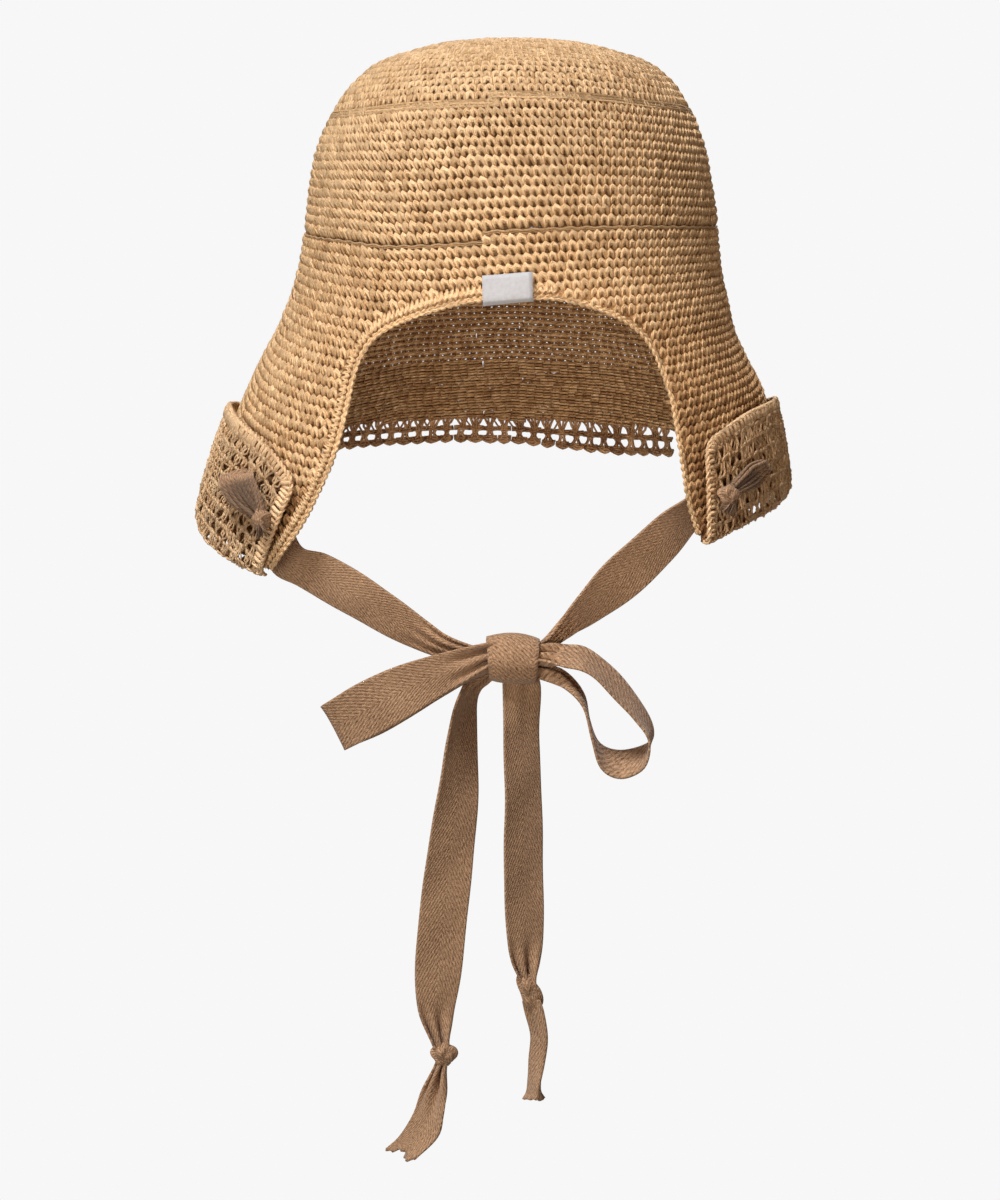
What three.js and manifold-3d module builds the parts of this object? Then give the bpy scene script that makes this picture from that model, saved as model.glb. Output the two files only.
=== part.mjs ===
// A crocheted bonnet with turned-up ear flaps and woven ties knotted in a bow under the chin.
// Millimetres, +Z up. The face opening looks along -Y and +X is on the right in a front view.
// The origin is the inside of the crown's centre, where the bonnet rests on a head.
import * as THREE from 'three';
import { mergeVertices } from 'three/addons/utils/BufferGeometryUtils.js';
import Module from 'manifold-3d';

const wasm = await Module();
wasm.setup();

// Driving dimensions
const crochetThickness = 2.6;
const clearance = 0.35;
const tapeThickness = 1;
const tieHoleRadius = 4.6;
const edgingRadius = 1.75;
const edgingClearance = 0.45;
const crownPlateFront = -21;
const crownPlateSide = -30;
const skirtTop = -80;
const ringColumns = 44;

const straw = { color: 0xc49a6c, roughness: 0.85, metalness: 0 };
const shadedStraw = { color: 0xb08455, roughness: 0.88, metalness: 0 };
const tape = { color: 0x8a6a48, roughness: 0.9, metalness: 0 };
const whiteTape = { color: 0xe6e1da, roughness: 0.7, metalness: 0 };

// Outer sections from the crown's centre down: half widths to the wearer's sides, and depths
const sections = [
  { z: 2.6, left: 0, right: 0, front: 0, back: 0 },
  { z: 2, left: 15, right: 15, front: 17, back: 17 },
  { z: 0.2, left: 31, right: 31, front: 36, back: 36 },
  { z: -6.5, left: 53.5, right: 54.5, front: 63, back: 63 },
  { z: -14, left: 64, right: 65.5, front: 75, back: 75.5 },
  { z: -22, left: 71, right: 71.5, front: 83, back: 83.5 },
  { z: -32, left: 76.5, right: 76.5, front: 89, back: 90 },
  { z: -44, left: 81.5, right: 80.5, front: 94, back: 95 },
  { z: -57, left: 84, right: 83, front: 97, back: 98 },
  { z: -69, left: 85.5, right: 85, front: 98.5, back: 100 },
  { z: -81, left: 86.8, right: 86, front: 100, back: 101.5 },
  { z: -94, left: 89.3, right: 87.3, front: 101.5, back: 103 },
  { z: -106, left: 93, right: 90, front: 103.5, back: 105 },
  { z: -119, left: 98.5, right: 93, front: 106, back: 107.5 },
  { z: -131, left: 105, right: 98.5, front: 108, back: 110 },
  { z: -144, left: 111, right: 105, front: 110, back: 113 },
  { z: -163, left: 119, right: 109.5, front: 111, back: 117 },
  { z: -182, left: 125, right: 112.5, front: 110, back: 119 },
  { z: -200, left: 129, right: 114.5, front: 108, back: 120 },
  { z: -220, left: 131, right: 115, front: 106, back: 120 },
];

// Lower edge of the skirt on each side, from the middle of the face to the middle of the back.
// ridge is the angle on the skirt's top ring from which the wall runs down to this point.
const edges = {
  left: {
    arch: [
      { ridge: 0, angle: 0, z: -100 },
      { ridge: 9, angle: 10.5, z: -101.2 },
      { ridge: 18, angle: 20.5, z: -105 },
      { ridge: 27, angle: 31, z: -111.5 },
      { ridge: 34, angle: 36.3, z: -118.5 },
      { ridge: 40, angle: 38.2, z: -129 },
      { ridge: 46, angle: 37.7, z: -146 },
      { ridge: 53, angle: 37.8, z: -163 },
      { ridge: 60, angle: 39.8, z: -178 },
      { ridge: 67, angle: 43.3, z: -194 },
      { ridge: 75, angle: 50.5, z: -213 },
    ],
    cuff: [
      { ridge: 75, angle: 50.5, z: -213, topAngle: 44, top: -177, gap: 1 },
      { ridge: 81, angle: 57, z: -210, topAngle: 50.5, top: -168, gap: 1.3 },
      { ridge: 87, angle: 65, z: -206, topAngle: 58.5, top: -161, gap: 1.8 },
      { ridge: 94, angle: 75, z: -200.5, topAngle: 69, top: -156, gap: 2.4 },
      { ridge: 102, angle: 85.5, z: -194, topAngle: 81, top: -152, gap: 2.6 },
      { ridge: 111, angle: 97, z: -187, topAngle: 94, top: -151.5, gap: 2.6 },
      { ridge: 121, angle: 110, z: -180, topAngle: 108, top: -154, gap: 2.2 },
      { ridge: 131, angle: 124, z: -174.5, topAngle: 123, top: -160, gap: 1.6 },
      { ridge: 140, angle: 137, z: -172, topAngle: 137, top: -166, gap: 1 },
    ],
    hem: [
      { ridge: 142, angle: 140, z: -163, drop: 11.5 },
      { ridge: 155, angle: 155, z: -161.3, drop: 12 },
      { ridge: 168, angle: 168, z: -161, drop: 11.5 },
      { ridge: 180, angle: 180, z: -161.3, drop: 11.8 },
    ],
  },
  right: {
    arch: [
      { ridge: 0, angle: 0, z: -100 },
      { ridge: 9, angle: 10.5, z: -100 },
      { ridge: 18, angle: 18.5, z: -102.5 },
      { ridge: 27, angle: 28.5, z: -108 },
      { ridge: 34, angle: 35.8, z: -116 },
      { ridge: 40, angle: 38.6, z: -125.5 },
      { ridge: 47, angle: 39, z: -140 },
      { ridge: 54, angle: 39.2, z: -156 },
      { ridge: 61, angle: 39.7, z: -171 },
      { ridge: 68, angle: 40.4, z: -185 },
      { ridge: 75, angle: 42.6, z: -199 },
    ],
    cuff: [
      { ridge: 75, angle: 42.6, z: -199, topAngle: 44.3, top: -161, gap: 1 },
      { ridge: 81, angle: 50, z: -195, topAngle: 51.5, top: -156, gap: 1.3 },
      { ridge: 87, angle: 58.5, z: -191, topAngle: 59.5, top: -151.5, gap: 1.8 },
      { ridge: 94, angle: 68, z: -187.5, topAngle: 68.5, top: -149.5, gap: 2.4 },
      { ridge: 102, angle: 79, z: -183.5, topAngle: 78.5, top: -148.5, gap: 2.6 },
      { ridge: 111, angle: 92, z: -179, topAngle: 91, top: -148.5, gap: 2.6 },
      { ridge: 121, angle: 106, z: -175.5, topAngle: 105, top: -151.5, gap: 2.2 },
      { ridge: 131, angle: 121.5, z: -173.5, topAngle: 121, top: -159, gap: 1.6 },
      { ridge: 140, angle: 136.5, z: -173, topAngle: 136.5, top: -167, gap: 1 },
    ],
    hem: [
      { ridge: 142, angle: 140, z: -163.3, drop: 14 },
      { ridge: 155, angle: 155, z: -162.8, drop: 14.5 },
      { ridge: 168, angle: 168, z: -162, drop: 13.5 },
      { ridge: 180, angle: 180, z: -161.3, drop: 11.8 },
    ],
  },
};

// Samples a table's named columns along a smooth curve through its rows
function smoothRows(rows, stepsPerRow) {
  const columns = Object.keys(rows[0]);
  const positions = rows.map((row, index) => index);
  const values = rows.flatMap((row) => columns.map((column) => row[column]));
  const curve = new THREE.CubicInterpolant(positions, values, columns.length);
  const count = (rows.length - 1) * stepsPerRow;
  return Array.from({ length: count + 1 }, (unused, step) => {
    const sample = curve.evaluate(step / stepsPerRow);
    return Object.fromEntries(columns.map((column, index) => [column, sample[index]]));
  });
}

// Outer surface of the bonnet by angle and height, as fine rows with straight lines between
const fineSections = smoothRows(sections, 6);

function sectionAtHeight(z) {
  const below = fineSections.findIndex((row) => row.z <= z);
  const lower = below < 0 ? fineSections.length - 1 : Math.max(below, 1);
  const [a, b] = [fineSections[lower - 1], fineSections[lower]];
  const share = (z - a.z) / (b.z - a.z);
  const mix = (column) => Math.max(THREE.MathUtils.lerp(a[column], b[column], share), 0);
  return { left: mix('left'), right: mix('right'), front: mix('front'), back: mix('back') };
}

function outerPoint(angle, z) {
  const section = sectionAtHeight(z);
  const across = Math.sin(THREE.MathUtils.degToRad(angle));
  const ahead = Math.cos(THREE.MathUtils.degToRad(angle));
  const x = across * (across < 0 ? section.left : section.right);
  const y = -ahead * (ahead > 0 ? section.front : section.back);
  return new THREE.Vector3(x, y, z);
}

// Point at an outward offset from the surface, then moved down along it by drop
function onShell(angle, z, offset = 0, drop = 0) {
  const turn = 0.5;
  const rise = 0.4;
  const around = outerPoint(angle + turn, z).sub(outerPoint(angle - turn, z)).normalize();
  const up = outerPoint(angle, z + rise).sub(outerPoint(angle, z - rise)).normalize();
  const outward = new THREE.Vector3().crossVectors(around, up).normalize();
  return outerPoint(angle, z).addScaledVector(outward, offset).addScaledVector(up, -drop);
}

// Closed solid between two like grids of points, each a list of rows
function solidBetween(outer, inner, closedRing) {
  const corners = [];
  const face = (a, b, c) => {
    if (a.distanceTo(b) > 1e-4 && b.distanceTo(c) > 1e-4 && c.distanceTo(a) > 1e-4) {
      corners.push(a, b, c);
    }
  };
  const quad = (a, b, c, d) => {
    face(a, b, c);
    face(a, c, d);
  };
  const lastRow = outer.length - 1;
  const columns = outer[0].length;
  const spans = closedRing ? columns : columns - 1;
  for (let row = 0; row < lastRow; row += 1) {
    for (let column = 0; column < spans; column += 1) {
      const next = (column + 1) % columns;
      quad(outer[row][column], outer[row + 1][column], outer[row + 1][next], outer[row][next]);
      quad(inner[row][column], inner[row][next], inner[row + 1][next], inner[row + 1][column]);
    }
    if (!closedRing) {
      const end = columns - 1;
      quad(outer[row][0], inner[row][0], inner[row + 1][0], outer[row + 1][0]);
      quad(outer[row][end], outer[row + 1][end], inner[row + 1][end], inner[row][end]);
    }
  }
  for (let column = 0; column < spans; column += 1) {
    const next = (column + 1) % columns;
    quad(outer[0][column], outer[0][next], inner[0][next], inner[0][column]);
    quad(outer[lastRow][column], inner[lastRow][column], inner[lastRow][next], outer[lastRow][next]);
  }
  return facingOut(cleaned(new THREE.BufferGeometry().setFromPoints(corners)));
}

// Keeps positions only, with shared corners merged
function cleaned(geometry) {
  geometry.deleteAttribute('normal');
  geometry.deleteAttribute('uv');
  return mergeVertices(geometry, 1e-4);
}

// Turns the faces over where they enclose a negative volume
function facingOut(geometry) {
  const position = geometry.getAttribute('position');
  const index = geometry.getIndex().array;
  const corner = (at) => new THREE.Vector3().fromBufferAttribute(position, index[at]);
  let volume = 0;
  for (let at = 0; at < index.length; at += 3) {
    volume += corner(at).dot(corner(at + 1).cross(corner(at + 2)));
  }
  if (volume < 0) {
    for (let at = 0; at < index.length; at += 3) {
      [index[at + 1], index[at + 2]] = [index[at + 2], index[at + 1]];
    }
  }
  return geometry;
}

// One solid with another cut away
function cutAway(geometry, tool) {
  const asSolid = (shape) => new wasm.Manifold(new wasm.Mesh({
    numProp: 3,
    vertProperties: new Float32Array(shape.getAttribute('position').array),
    triVerts: new Uint32Array(shape.getIndex().array),
  }));
  const mesh = asSolid(geometry).subtract(asSolid(tool)).getMesh();
  const result = new THREE.BufferGeometry();
  result.setAttribute('position', new THREE.BufferAttribute(mesh.vertProperties, 3));
  result.setIndex(new THREE.BufferAttribute(mesh.triVerts, 1));
  return result;
}

const ringAngles = Array.from({ length: ringColumns }, (unused, step) => (step * 360) / ringColumns);

// Height of the upper ridge, which lies lower at the sides than at the front and back
function ridgeHeight(angle) {
  const middle = (crownPlateFront + crownPlateSide) / 2;
  const swing = (crownPlateFront - crownPlateSide) / 2;
  return middle + swing * Math.cos(2 * THREE.MathUtils.degToRad(angle));
}

// Crown plate: the domed top, down to the upper ridge, with rows closer at the centre
function crownPlate() {
  const rows = 7;
  const top = sections[0].z;
  const pointAt = (row, angle, inset) => {
    const share = (row / rows) ** 2;
    return onShell(angle, THREE.MathUtils.lerp(top, ridgeHeight(angle), share), -inset);
  };
  const grid = (inset) => Array.from({ length: rows + 1 }, (unused, row) => ringAngles.map((angle) => (
    row === 0 ? new THREE.Vector3(0, 0, top - inset) : pointAt(row, angle, inset)
  )));
  return solidBetween(grid(0), grid(crochetThickness), true);
}

// Crown side: the near-upright wall from the upper ridge to the skirt
function crownSide() {
  const rows = 6;
  const grid = (inset) => Array.from({ length: rows + 1 }, (unused, row) => ringAngles.map((angle) => {
    const z = THREE.MathUtils.lerp(ridgeHeight(angle) - clearance, skirtTop, row / rows);
    return onShell(angle, z, -inset);
  }));
  return solidBetween(grid(0), grid(crochetThickness), true);
}

// The skirt's whole edge as one ring, from the back round by the left, the front and the right
function signedEdge(side, sign) {
  const { arch, cuff, hem } = edges[side];
  const bare = (rows) => rows.map(({ ridge, angle, z }) => ({ ridge, angle, z }));
  const rows = [
    ...smoothRows(bare(arch), 2),
    ...smoothRows(bare(cuff), 2).slice(1),
    ...smoothRows(bare(hem), 2),
  ];
  return rows.map(({ ridge, angle, z }) => ({ ridge: sign * ridge, angle: sign * angle, z }));
}

function skirt() {
  const rows = 10;
  const ring = [...signedEdge('left', -1).reverse().slice(1), ...signedEdge('right', 1).slice(1)];
  const top = skirtTop - clearance;
  const grid = (inset) => Array.from({ length: rows + 1 }, (unused, row) => ring.map((edge) => {
    const share = row / rows;
    const angle = THREE.MathUtils.lerp(edge.ridge, edge.angle, share);
    return onShell(angle, THREE.MathUtils.lerp(top, edge.z, share), -inset);
  }));
  return solidBetween(grid(0), grid(crochetThickness), true);
}

// Openwork hem across the back, between the two cuffs
function meshHem() {
  const signed = (side, sign) => smoothRows(edges[side].hem, 2)
    .map(({ angle, z, drop }) => ({ angle: sign * angle, z, drop }));
  const line = [...signed('right', 1), ...signed('left', -1).reverse().slice(1)];
  const rows = 2;
  const grid = (inset) => Array.from({ length: rows + 1 }, (unused, row) => line.map((edge) => (
    onShell(edge.angle, edge.z - clearance - ((edge.drop - clearance) * row) / rows, -inset)
  )));
  return solidBetween(grid(0), grid(crochetThickness), false);
}

// Cuff: the flap's lower part, turned up outside it from a rounded fold
function cuff(side, sign) {
  const bendSteps = 4;
  const wallSteps = 6;
  const half = crochetThickness / 2;
  const line = smoothRows(edges[side].cuff, 2);
  const column = (edge, inset) => {
    const radius = (crochetThickness + edge.gap) / 2;
    const centre = radius - half;
    const base = edge.z - clearance;
    const points = [];
    for (let step = 0; step <= bendSteps; step += 1) {
      const turn = (Math.PI * step) / bendSteps;
      const reach = radius - inset;
      const offset = centre - reach * Math.cos(turn);
      points.push(onShell(sign * edge.angle, base, offset, reach * Math.sin(turn)));
    }
    for (let step = 1; step <= wallSteps; step += 1) {
      const share = step / wallSteps;
      const angle = THREE.MathUtils.lerp(edge.angle, edge.topAngle, share);
      const z = THREE.MathUtils.lerp(base, edge.top, share);
      points.push(onShell(sign * angle, z, edge.gap + half - inset));
    }
    return points;
  };
  const turned = (lines) => lines[0].map((unused, row) => lines.map((points) => points[row]));
  const outer = turned(line.map((edge) => column(edge, -half)));
  const inner = turned(line.map((edge) => column(edge, half)));
  return solidBetween(outer, inner, false);
}

// Rope-like edging along the arch of the face opening, from one flap's tip to the other's
function faceEdging() {
  const ring = [
    ...smoothRows(edges.left.arch, 3).reverse().map((edge) => ({ angle: -edge.angle, z: edge.z })),
    ...smoothRows(edges.right.arch, 3).slice(1),
  ];
  const half = crochetThickness / 2;
  const points = ring.map(({ angle, z }) => onShell(angle, z, -half));
  const path = points.slice(1, -1).map((point, index) => {
    const along = points[index + 2].clone().sub(points[index]).normalize();
    const { angle, z } = ring[index + 1];
    const outward = onShell(angle, z, half).sub(point).normalize();
    const towardFace = new THREE.Vector3().crossVectors(along, outward).normalize();
    return point.clone().addScaledVector(towardFace, edgingRadius + edgingClearance);
  });
  const circle = new THREE.Shape().absarc(0, 0, edgingRadius, 0, 2 * Math.PI);
  return facingOut(cleaned(new THREE.ExtrudeGeometry(circle, {
    steps: 48,
    curveSegments: 4,
    bevelEnabled: false,
    extrudePath: new THREE.CatmullRomCurve3(path),
  })));
}

// Flat tape through rows: at is its middle, across runs from one long edge to the other
function ribbon(rows, stepsPerRow = 2) {
  const asVector = (value) => (value.isVector3 ? value : new THREE.Vector3(...value));
  const line = smoothRows(rows.map(({ at, across }) => {
    const middle = asVector(at);
    const width = asVector(across);
    return { x: middle.x, y: middle.y, z: middle.z, wx: width.x, wy: width.y, wz: width.z };
  }), stepsPerRow);
  const middles = line.map(({ x, y, z }) => new THREE.Vector3(x, y, z));
  const side = (sign) => line.map(({ wx, wy, wz }, index) => {
    const across = new THREE.Vector3(wx, wy, wz);
    const before = middles[Math.max(index - 1, 0)];
    const after = middles[Math.min(index + 1, middles.length - 1)];
    const face = after.clone().sub(before).cross(across).normalize();
    const centre = middles[index].clone().addScaledVector(face, (sign * tapeThickness) / 2);
    return [-0.5, 0.5].map((share) => centre.clone().addScaledVector(across, share));
  });
  return solidBetween(side(1), side(-1), false);
}

// Knot: a sphere drawn out to three half sizes, squarer as the power falls under one
function knot({ at, half, power = 0.8, tilt = 0 }, grow = 0) {
  const geometry = cleaned(new THREE.SphereGeometry(1, 16, 10));
  const position = geometry.getAttribute('position');
  const squared = (value) => Math.sign(value) * Math.abs(value) ** power;
  for (let index = 0; index < position.count; index += 1) {
    const x = squared(position.getX(index)) * (half[0] + grow);
    const y = squared(position.getY(index)) * (half[1] + grow);
    const z = squared(position.getZ(index)) * (half[2] + grow);
    position.setXYZ(index, x, y, z);
  }
  geometry.rotateY(THREE.MathUtils.degToRad(tilt));
  geometry.translate(...(at.isVector3 ? at.toArray() : at));
  return facingOut(geometry);
}

// Round tool for the hole through a flap and its cuff, where the tie passes
function tieHole(angle, z) {
  const toolLength = 24;
  const sides = 12;
  const geometry = cleaned(new THREE.CylinderGeometry(tieHoleRadius, tieHoleRadius, toolLength, sides));
  const outward = onShell(angle, z, 1).sub(onShell(angle, z)).normalize();
  const turn = new THREE.Quaternion().setFromUnitVectors(new THREE.Vector3(0, 1, 0), outward);
  geometry.applyQuaternion(turn);
  geometry.translate(...onShell(angle, z, 2).toArray());
  return geometry;
}

// Knots on the tape
const knots = {
  bow: { at: [0.5, -96, -246.3], half: [10.6, 9.5, 10.2], power: 0.75 },
  leftTail: { at: [-27.6, -95, -407], half: [5.2, 4.4, 5.3] },
  rightTail: { at: [7, -95, -381.6], half: [4.3, 4, 9], tilt: -20 },
  leftTie: { at: onShell(-48.3, -191.8, 8.2), half: [4.2, 3.8, 4.4] },
  rightTie: { at: onShell(46, -181.8, 8.2), half: [4.2, 3.8, 4.4] },
};

const holes = {
  left: tieHole(-60, -175),
  right: tieHole(62, -172),
};

// Each tie runs from its outer knot through the hole, down inside the flap and on to the bow
const leftTieRows = [
  { at: onShell(-48.3, -191.8, 8), across: [-2, 2, -2] },
  { at: onShell(-52, -187, 6.8), across: [-4.5, 4, -5] },
  { at: onShell(-56, -181, 6.6), across: [-7.5, 6, -7.5] },
  { at: onShell(-59.2, -176.5, 6.6), across: [-5, 4, -4] },
  { at: onShell(-60, -175, 4.5), across: [-4, 3.5, -2] },
  { at: onShell(-60, -175, -1), across: [-4, 3.5, -2] },
  { at: onShell(-59.5, -176.5, -5), across: [-5, 4.5, -4] },
  { at: onShell(-56, -186, -6), across: [-9, 6, -8] },
  { at: onShell(-52, -198, -7), across: [-12, 7, -9] },
  { at: [-91.5, -63, -209.5], across: [-11.5, 6, -11] },
  { at: [-82, -68, -213], across: [-11, 8, -14] },
  { at: [-72, -73, -218], across: [-7.5, 9, -16.5] },
  { at: [-61, -78, -224], across: [-8.5, 10, -15.5] },
  { at: [-50, -82, -230.5], across: [-8, 9.5, -14] },
  { at: [-39, -85, -237], across: [-7, 8, -11] },
  { at: [-27, -88, -242.5], across: [-4.5, 4, -8] },
  { at: [-14, -91, -245.5], across: [-1.5, 1, -5.5] },
  { at: [-3, -93, -247], across: [0, 1, -5] },
];

const rightTieRows = [
  { at: onShell(46, -181.8, 8), across: [1, 2, -2.5] },
  { at: onShell(51.5, -178.5, 6.8), across: [3, 4, -5.5] },
  { at: onShell(56.5, -175, 6.8), across: [4.5, 6.5, -8.5] },
  { at: onShell(61, -172.5, 6.6), across: [3, 4.5, -5] },
  { at: onShell(62, -172, 4.5), across: [2.5, 4, -2.5] },
  { at: onShell(62, -172, -1), across: [2.5, 4, -2.5] },
  { at: onShell(61, -172.5, -5), across: [3, 4.5, -5] },
  { at: onShell(56, -176.5, -7), across: [4, 6, -9] },
  { at: [80, -66, -183.5], across: [3, 5, -12] },
  { at: [71, -73, -191], across: [3, 5.5, -14.5] },
  { at: [62, -80, -198.5], across: [6.5, 7, -17] },
  { at: [51, -84.5, -208.5], across: [9, 7.5, -16.5] },
  { at: [40, -87, -218], across: [9.5, 9, -15] },
  { at: [29, -88, -228], across: [8.5, 10, -9.5] },
  { at: [19, -89, -237], across: [5, 6, -4.5] },
  { at: [12.5, -91, -242], across: [3, 3, -3.5] },
  { at: [4, -94, -246], across: [3, 2, -3] },
];

const leftLoopRows = [
  { at: [-3, -98, -244], across: [0, 0, -9] },
  { at: [-10, -101, -244], across: [0, 0, -9.6] },
  { at: [-20, -103.5, -248], across: [1, 0, -13.6] },
  { at: [-32, -105, -253], across: [3, 0, -17] },
  { at: [-45, -106, -259], across: [6, 0, -20] },
  { at: [-58, -106, -265.5], across: [8.5, 0, -20] },
  { at: [-67.5, -104.5, -271], across: [10, 0, -18] },
  { at: [-71.3, -101, -273.5], across: [10, 0, -17.5] },
  { at: [-67.5, -97.5, -272], across: [10, 0, -17.5] },
  { at: [-56, -96, -266.5], across: [8.5, 0, -19.5] },
  { at: [-42, -95, -260], across: [5, 0, -18.5] },
  { at: [-29, -95, -254], across: [3, 0, -15] },
  { at: [-17, -95.5, -249.5], across: [1, 0, -11] },
  { at: [-3, -96.5, -246], across: [0, 0, -7] },
];

const rightLoopRows = [
  { at: [3, -99, -245], across: [0, 4, 3] },
  { at: [11.5, -100, -245], across: [0, 6, 5] },
  { at: [20, -101, -245], across: [1, 13, 7] },
  { at: [28, -102, -246], across: [2, 17.5, 7.5] },
  { at: [36, -102, -251.5], across: [5, 18, 4] },
  { at: [44, -102, -260], across: [6, 18, 2.5] },
  { at: [51, -102, -269], across: [5.5, 18, 1] },
  { at: [55, -102, -277], across: [2, 18.5, 2] },
  { at: [53, -102, -284.5], across: [1.5, 18, 7.5] },
  { at: [43.5, -102, -288], across: [0, 18, 8.5] },
  { at: [35.5, -102, -284.5], across: [-0.5, 18, 7.5] },
  { at: [31.5, -102, -274], across: [-0.5, 16.5, 6] },
  { at: [28.5, -101, -262], across: [0, 15.5, 3.5] },
  { at: [21.5, -98.5, -254.5], across: [1, 12, 3] },
  { at: [12, -97, -251], across: [0, 6, 3.5] },
  { at: [3, -96, -249], across: [0, 4, 3] },
];

const leftTailRows = [
  { at: [-3, -91, -249], across: [2, 4, -2] },
  { at: [-10.5, -88, -252.5], across: [4, 6, -3] },
  { at: [-15.5, -87, -257.5], across: [7, 10, -2] },
  { at: [-19, -89, -265], across: [9, 15, 1] },
  { at: [-20.5, -91.5, -276], across: [11, 16, 3] },
  { at: [-22, -93.5, -300], across: [16, 11, 0] },
  { at: [-25.3, -94, -328], across: [18.8, 6, 0] },
  { at: [-28, -94, -352], across: [19.4, 3, 0] },
  { at: [-30, -94.5, -374], across: [18.5, 3, -2] },
  { at: [-31, -95, -390], across: [14, 3, -3] },
  { at: [-29.5, -95, -401], across: [7, 2, 0] },
  { at: [-28, -95, -407], across: [4, 2, 0] },
];

const rightTailRows = [
  { at: [2, -96, -249], across: [12, 1, 0] },
  { at: [3.7, -95.5, -258], across: [15, 3, 0] },
  { at: [3.4, -95.5, -278], across: [14, 8, -1] },
  { at: [4.2, -95.5, -303], across: [14.5, 10, 0] },
  { at: [4.3, -95.5, -332], across: [15.5, 9, 0] },
  { at: [5, -96, -358], across: [14.5, 7, -1] },
  { at: [5.2, -96, -369], across: [11, 4, -1] },
  { at: [6, -95.5, -376], across: [6, 2, 0] },
  { at: [7, -95, -381], across: [4, 2, 0] },
];

const leftEndRows = [
  { at: [-27.8, -95, -408], across: [4, 0, 0] },
  { at: [-29.3, -95, -413], across: [5, 0, 0] },
  { at: [-31.5, -96, -422], across: [10, -5, 0] },
  { at: [-34, -96.5, -432], across: [12.5, -9, 2] },
  { at: [-38, -96, -441], across: [16, -10, 2] },
  { at: [-46, -95, -448.8], across: [11, -8, -4] },
];

const rightEndRows = [
  { at: [8, -95, -385], across: [3, 2, 0] },
  { at: [10, -95, -391], across: [5, 3, 0] },
  { at: [11.8, -94.5, -400], across: [7, 5, 1.5] },
  { at: [10.8, -94, -410], across: [6.5, 4, 1] },
  { at: [9.6, -94.5, -419], across: [6, 3, 0] },
  { at: [9.2, -95, -426], across: [8, 4, 0] },
];

// Bare folded label that straddles the edging at the top of the arch
const labelRows = [
  { at: [-1.9, -102.8, -92.8], across: [20, 0, 0.8] },
  { at: [-1.9, -104.6, -103.4], across: [20, 0, 0.8] },
  { at: [-1.9, -103.9, -105.2], across: [20, 0, 0.8] },
  { at: [-1.9, -101.2, -105.8], across: [20, 0, 0.8] },
  { at: [-1.9, -98.4, -104.8], across: [20, 0, 0.8] },
  { at: [-1.9, -97.3, -102], across: [20, 0, 0.8] },
  { at: [-1.9, -96.3, -94.5], across: [20, 0, 0.8] },
];

const bonnet = new THREE.Group();

function add(name, geometry, look) {
  const mesh = new THREE.Mesh(geometry, new THREE.MeshStandardMaterial(look));
  mesh.name = name;
  bonnet.add(mesh);
}

add('crown_plate', crownPlate(), straw);
add('crown_side', crownSide(), straw);
const skirtWithLeftHole = cutAway(skirt(), holes.left);
add('skirt', cutAway(skirtWithLeftHole, holes.right), straw);
add('mesh_hem', meshHem(), shadedStraw);
add('left_cuff', cutAway(cuff('left', -1), holes.left), shadedStraw);
add('right_cuff', cutAway(cuff('right', 1), holes.right), shadedStraw);
add('face_edging', faceEdging(), straw);
add('label_tab', ribbon(labelRows), whiteTape);

const tied = (rows, ...ends) => ends.reduce(
  (geometry, end) => cutAway(geometry, knot(end, clearance)),
  ribbon(rows),
);
add('left_tie', tied(leftTieRows, knots.leftTie, knots.bow), tape);
add('right_tie', tied(rightTieRows, knots.rightTie, knots.bow), tape);
add('bow_loop_left', tied(leftLoopRows, knots.bow), tape);
add('bow_loop_right', tied(rightLoopRows, knots.bow), tape);
add('bow_tail_left', tied(leftTailRows, knots.bow, knots.leftTail), tape);
add('bow_tail_right', tied(rightTailRows, knots.bow, knots.rightTail), tape);
add('tail_end_left', tied(leftEndRows, knots.leftTail), tape);
add('tail_end_right', tied(rightEndRows, knots.rightTail), tape);
add('bow_knot', knot(knots.bow), tape);
add('tail_knot_left', knot(knots.leftTail), tape);
add('tail_knot_right', knot(knots.rightTail), tape);
add('left_tie_knot', knot(knots.leftTie), tape);
add('right_tie_knot', knot(knots.rightTie), tape);

export default bonnet;
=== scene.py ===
import math

import bmesh
import bpy
import numpy as np
from mathutils import Matrix, Vector


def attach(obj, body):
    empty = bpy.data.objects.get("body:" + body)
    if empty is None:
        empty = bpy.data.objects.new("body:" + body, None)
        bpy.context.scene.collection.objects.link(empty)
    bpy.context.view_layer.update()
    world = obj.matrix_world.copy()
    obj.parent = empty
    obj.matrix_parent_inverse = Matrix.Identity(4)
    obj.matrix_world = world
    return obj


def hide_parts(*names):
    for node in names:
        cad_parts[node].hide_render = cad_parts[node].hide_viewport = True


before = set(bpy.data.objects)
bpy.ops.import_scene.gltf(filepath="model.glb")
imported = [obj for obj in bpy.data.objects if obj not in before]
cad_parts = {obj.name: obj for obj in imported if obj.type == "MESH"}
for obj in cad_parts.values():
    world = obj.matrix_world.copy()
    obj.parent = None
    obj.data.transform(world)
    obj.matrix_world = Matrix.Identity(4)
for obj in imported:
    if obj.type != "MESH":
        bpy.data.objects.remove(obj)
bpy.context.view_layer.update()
mm = 0.001  # shapes are worked out in millimetres and become metres in each mesh
chance = np.random.default_rng(11)
scene = bpy.context.scene

cameraLook = {
    "distance": 2.0,
    "elevation": 5.5,
    "aimAcross": -0.005,
    "aimHeight": -0.232,
    "lens": 142.857,
}


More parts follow.
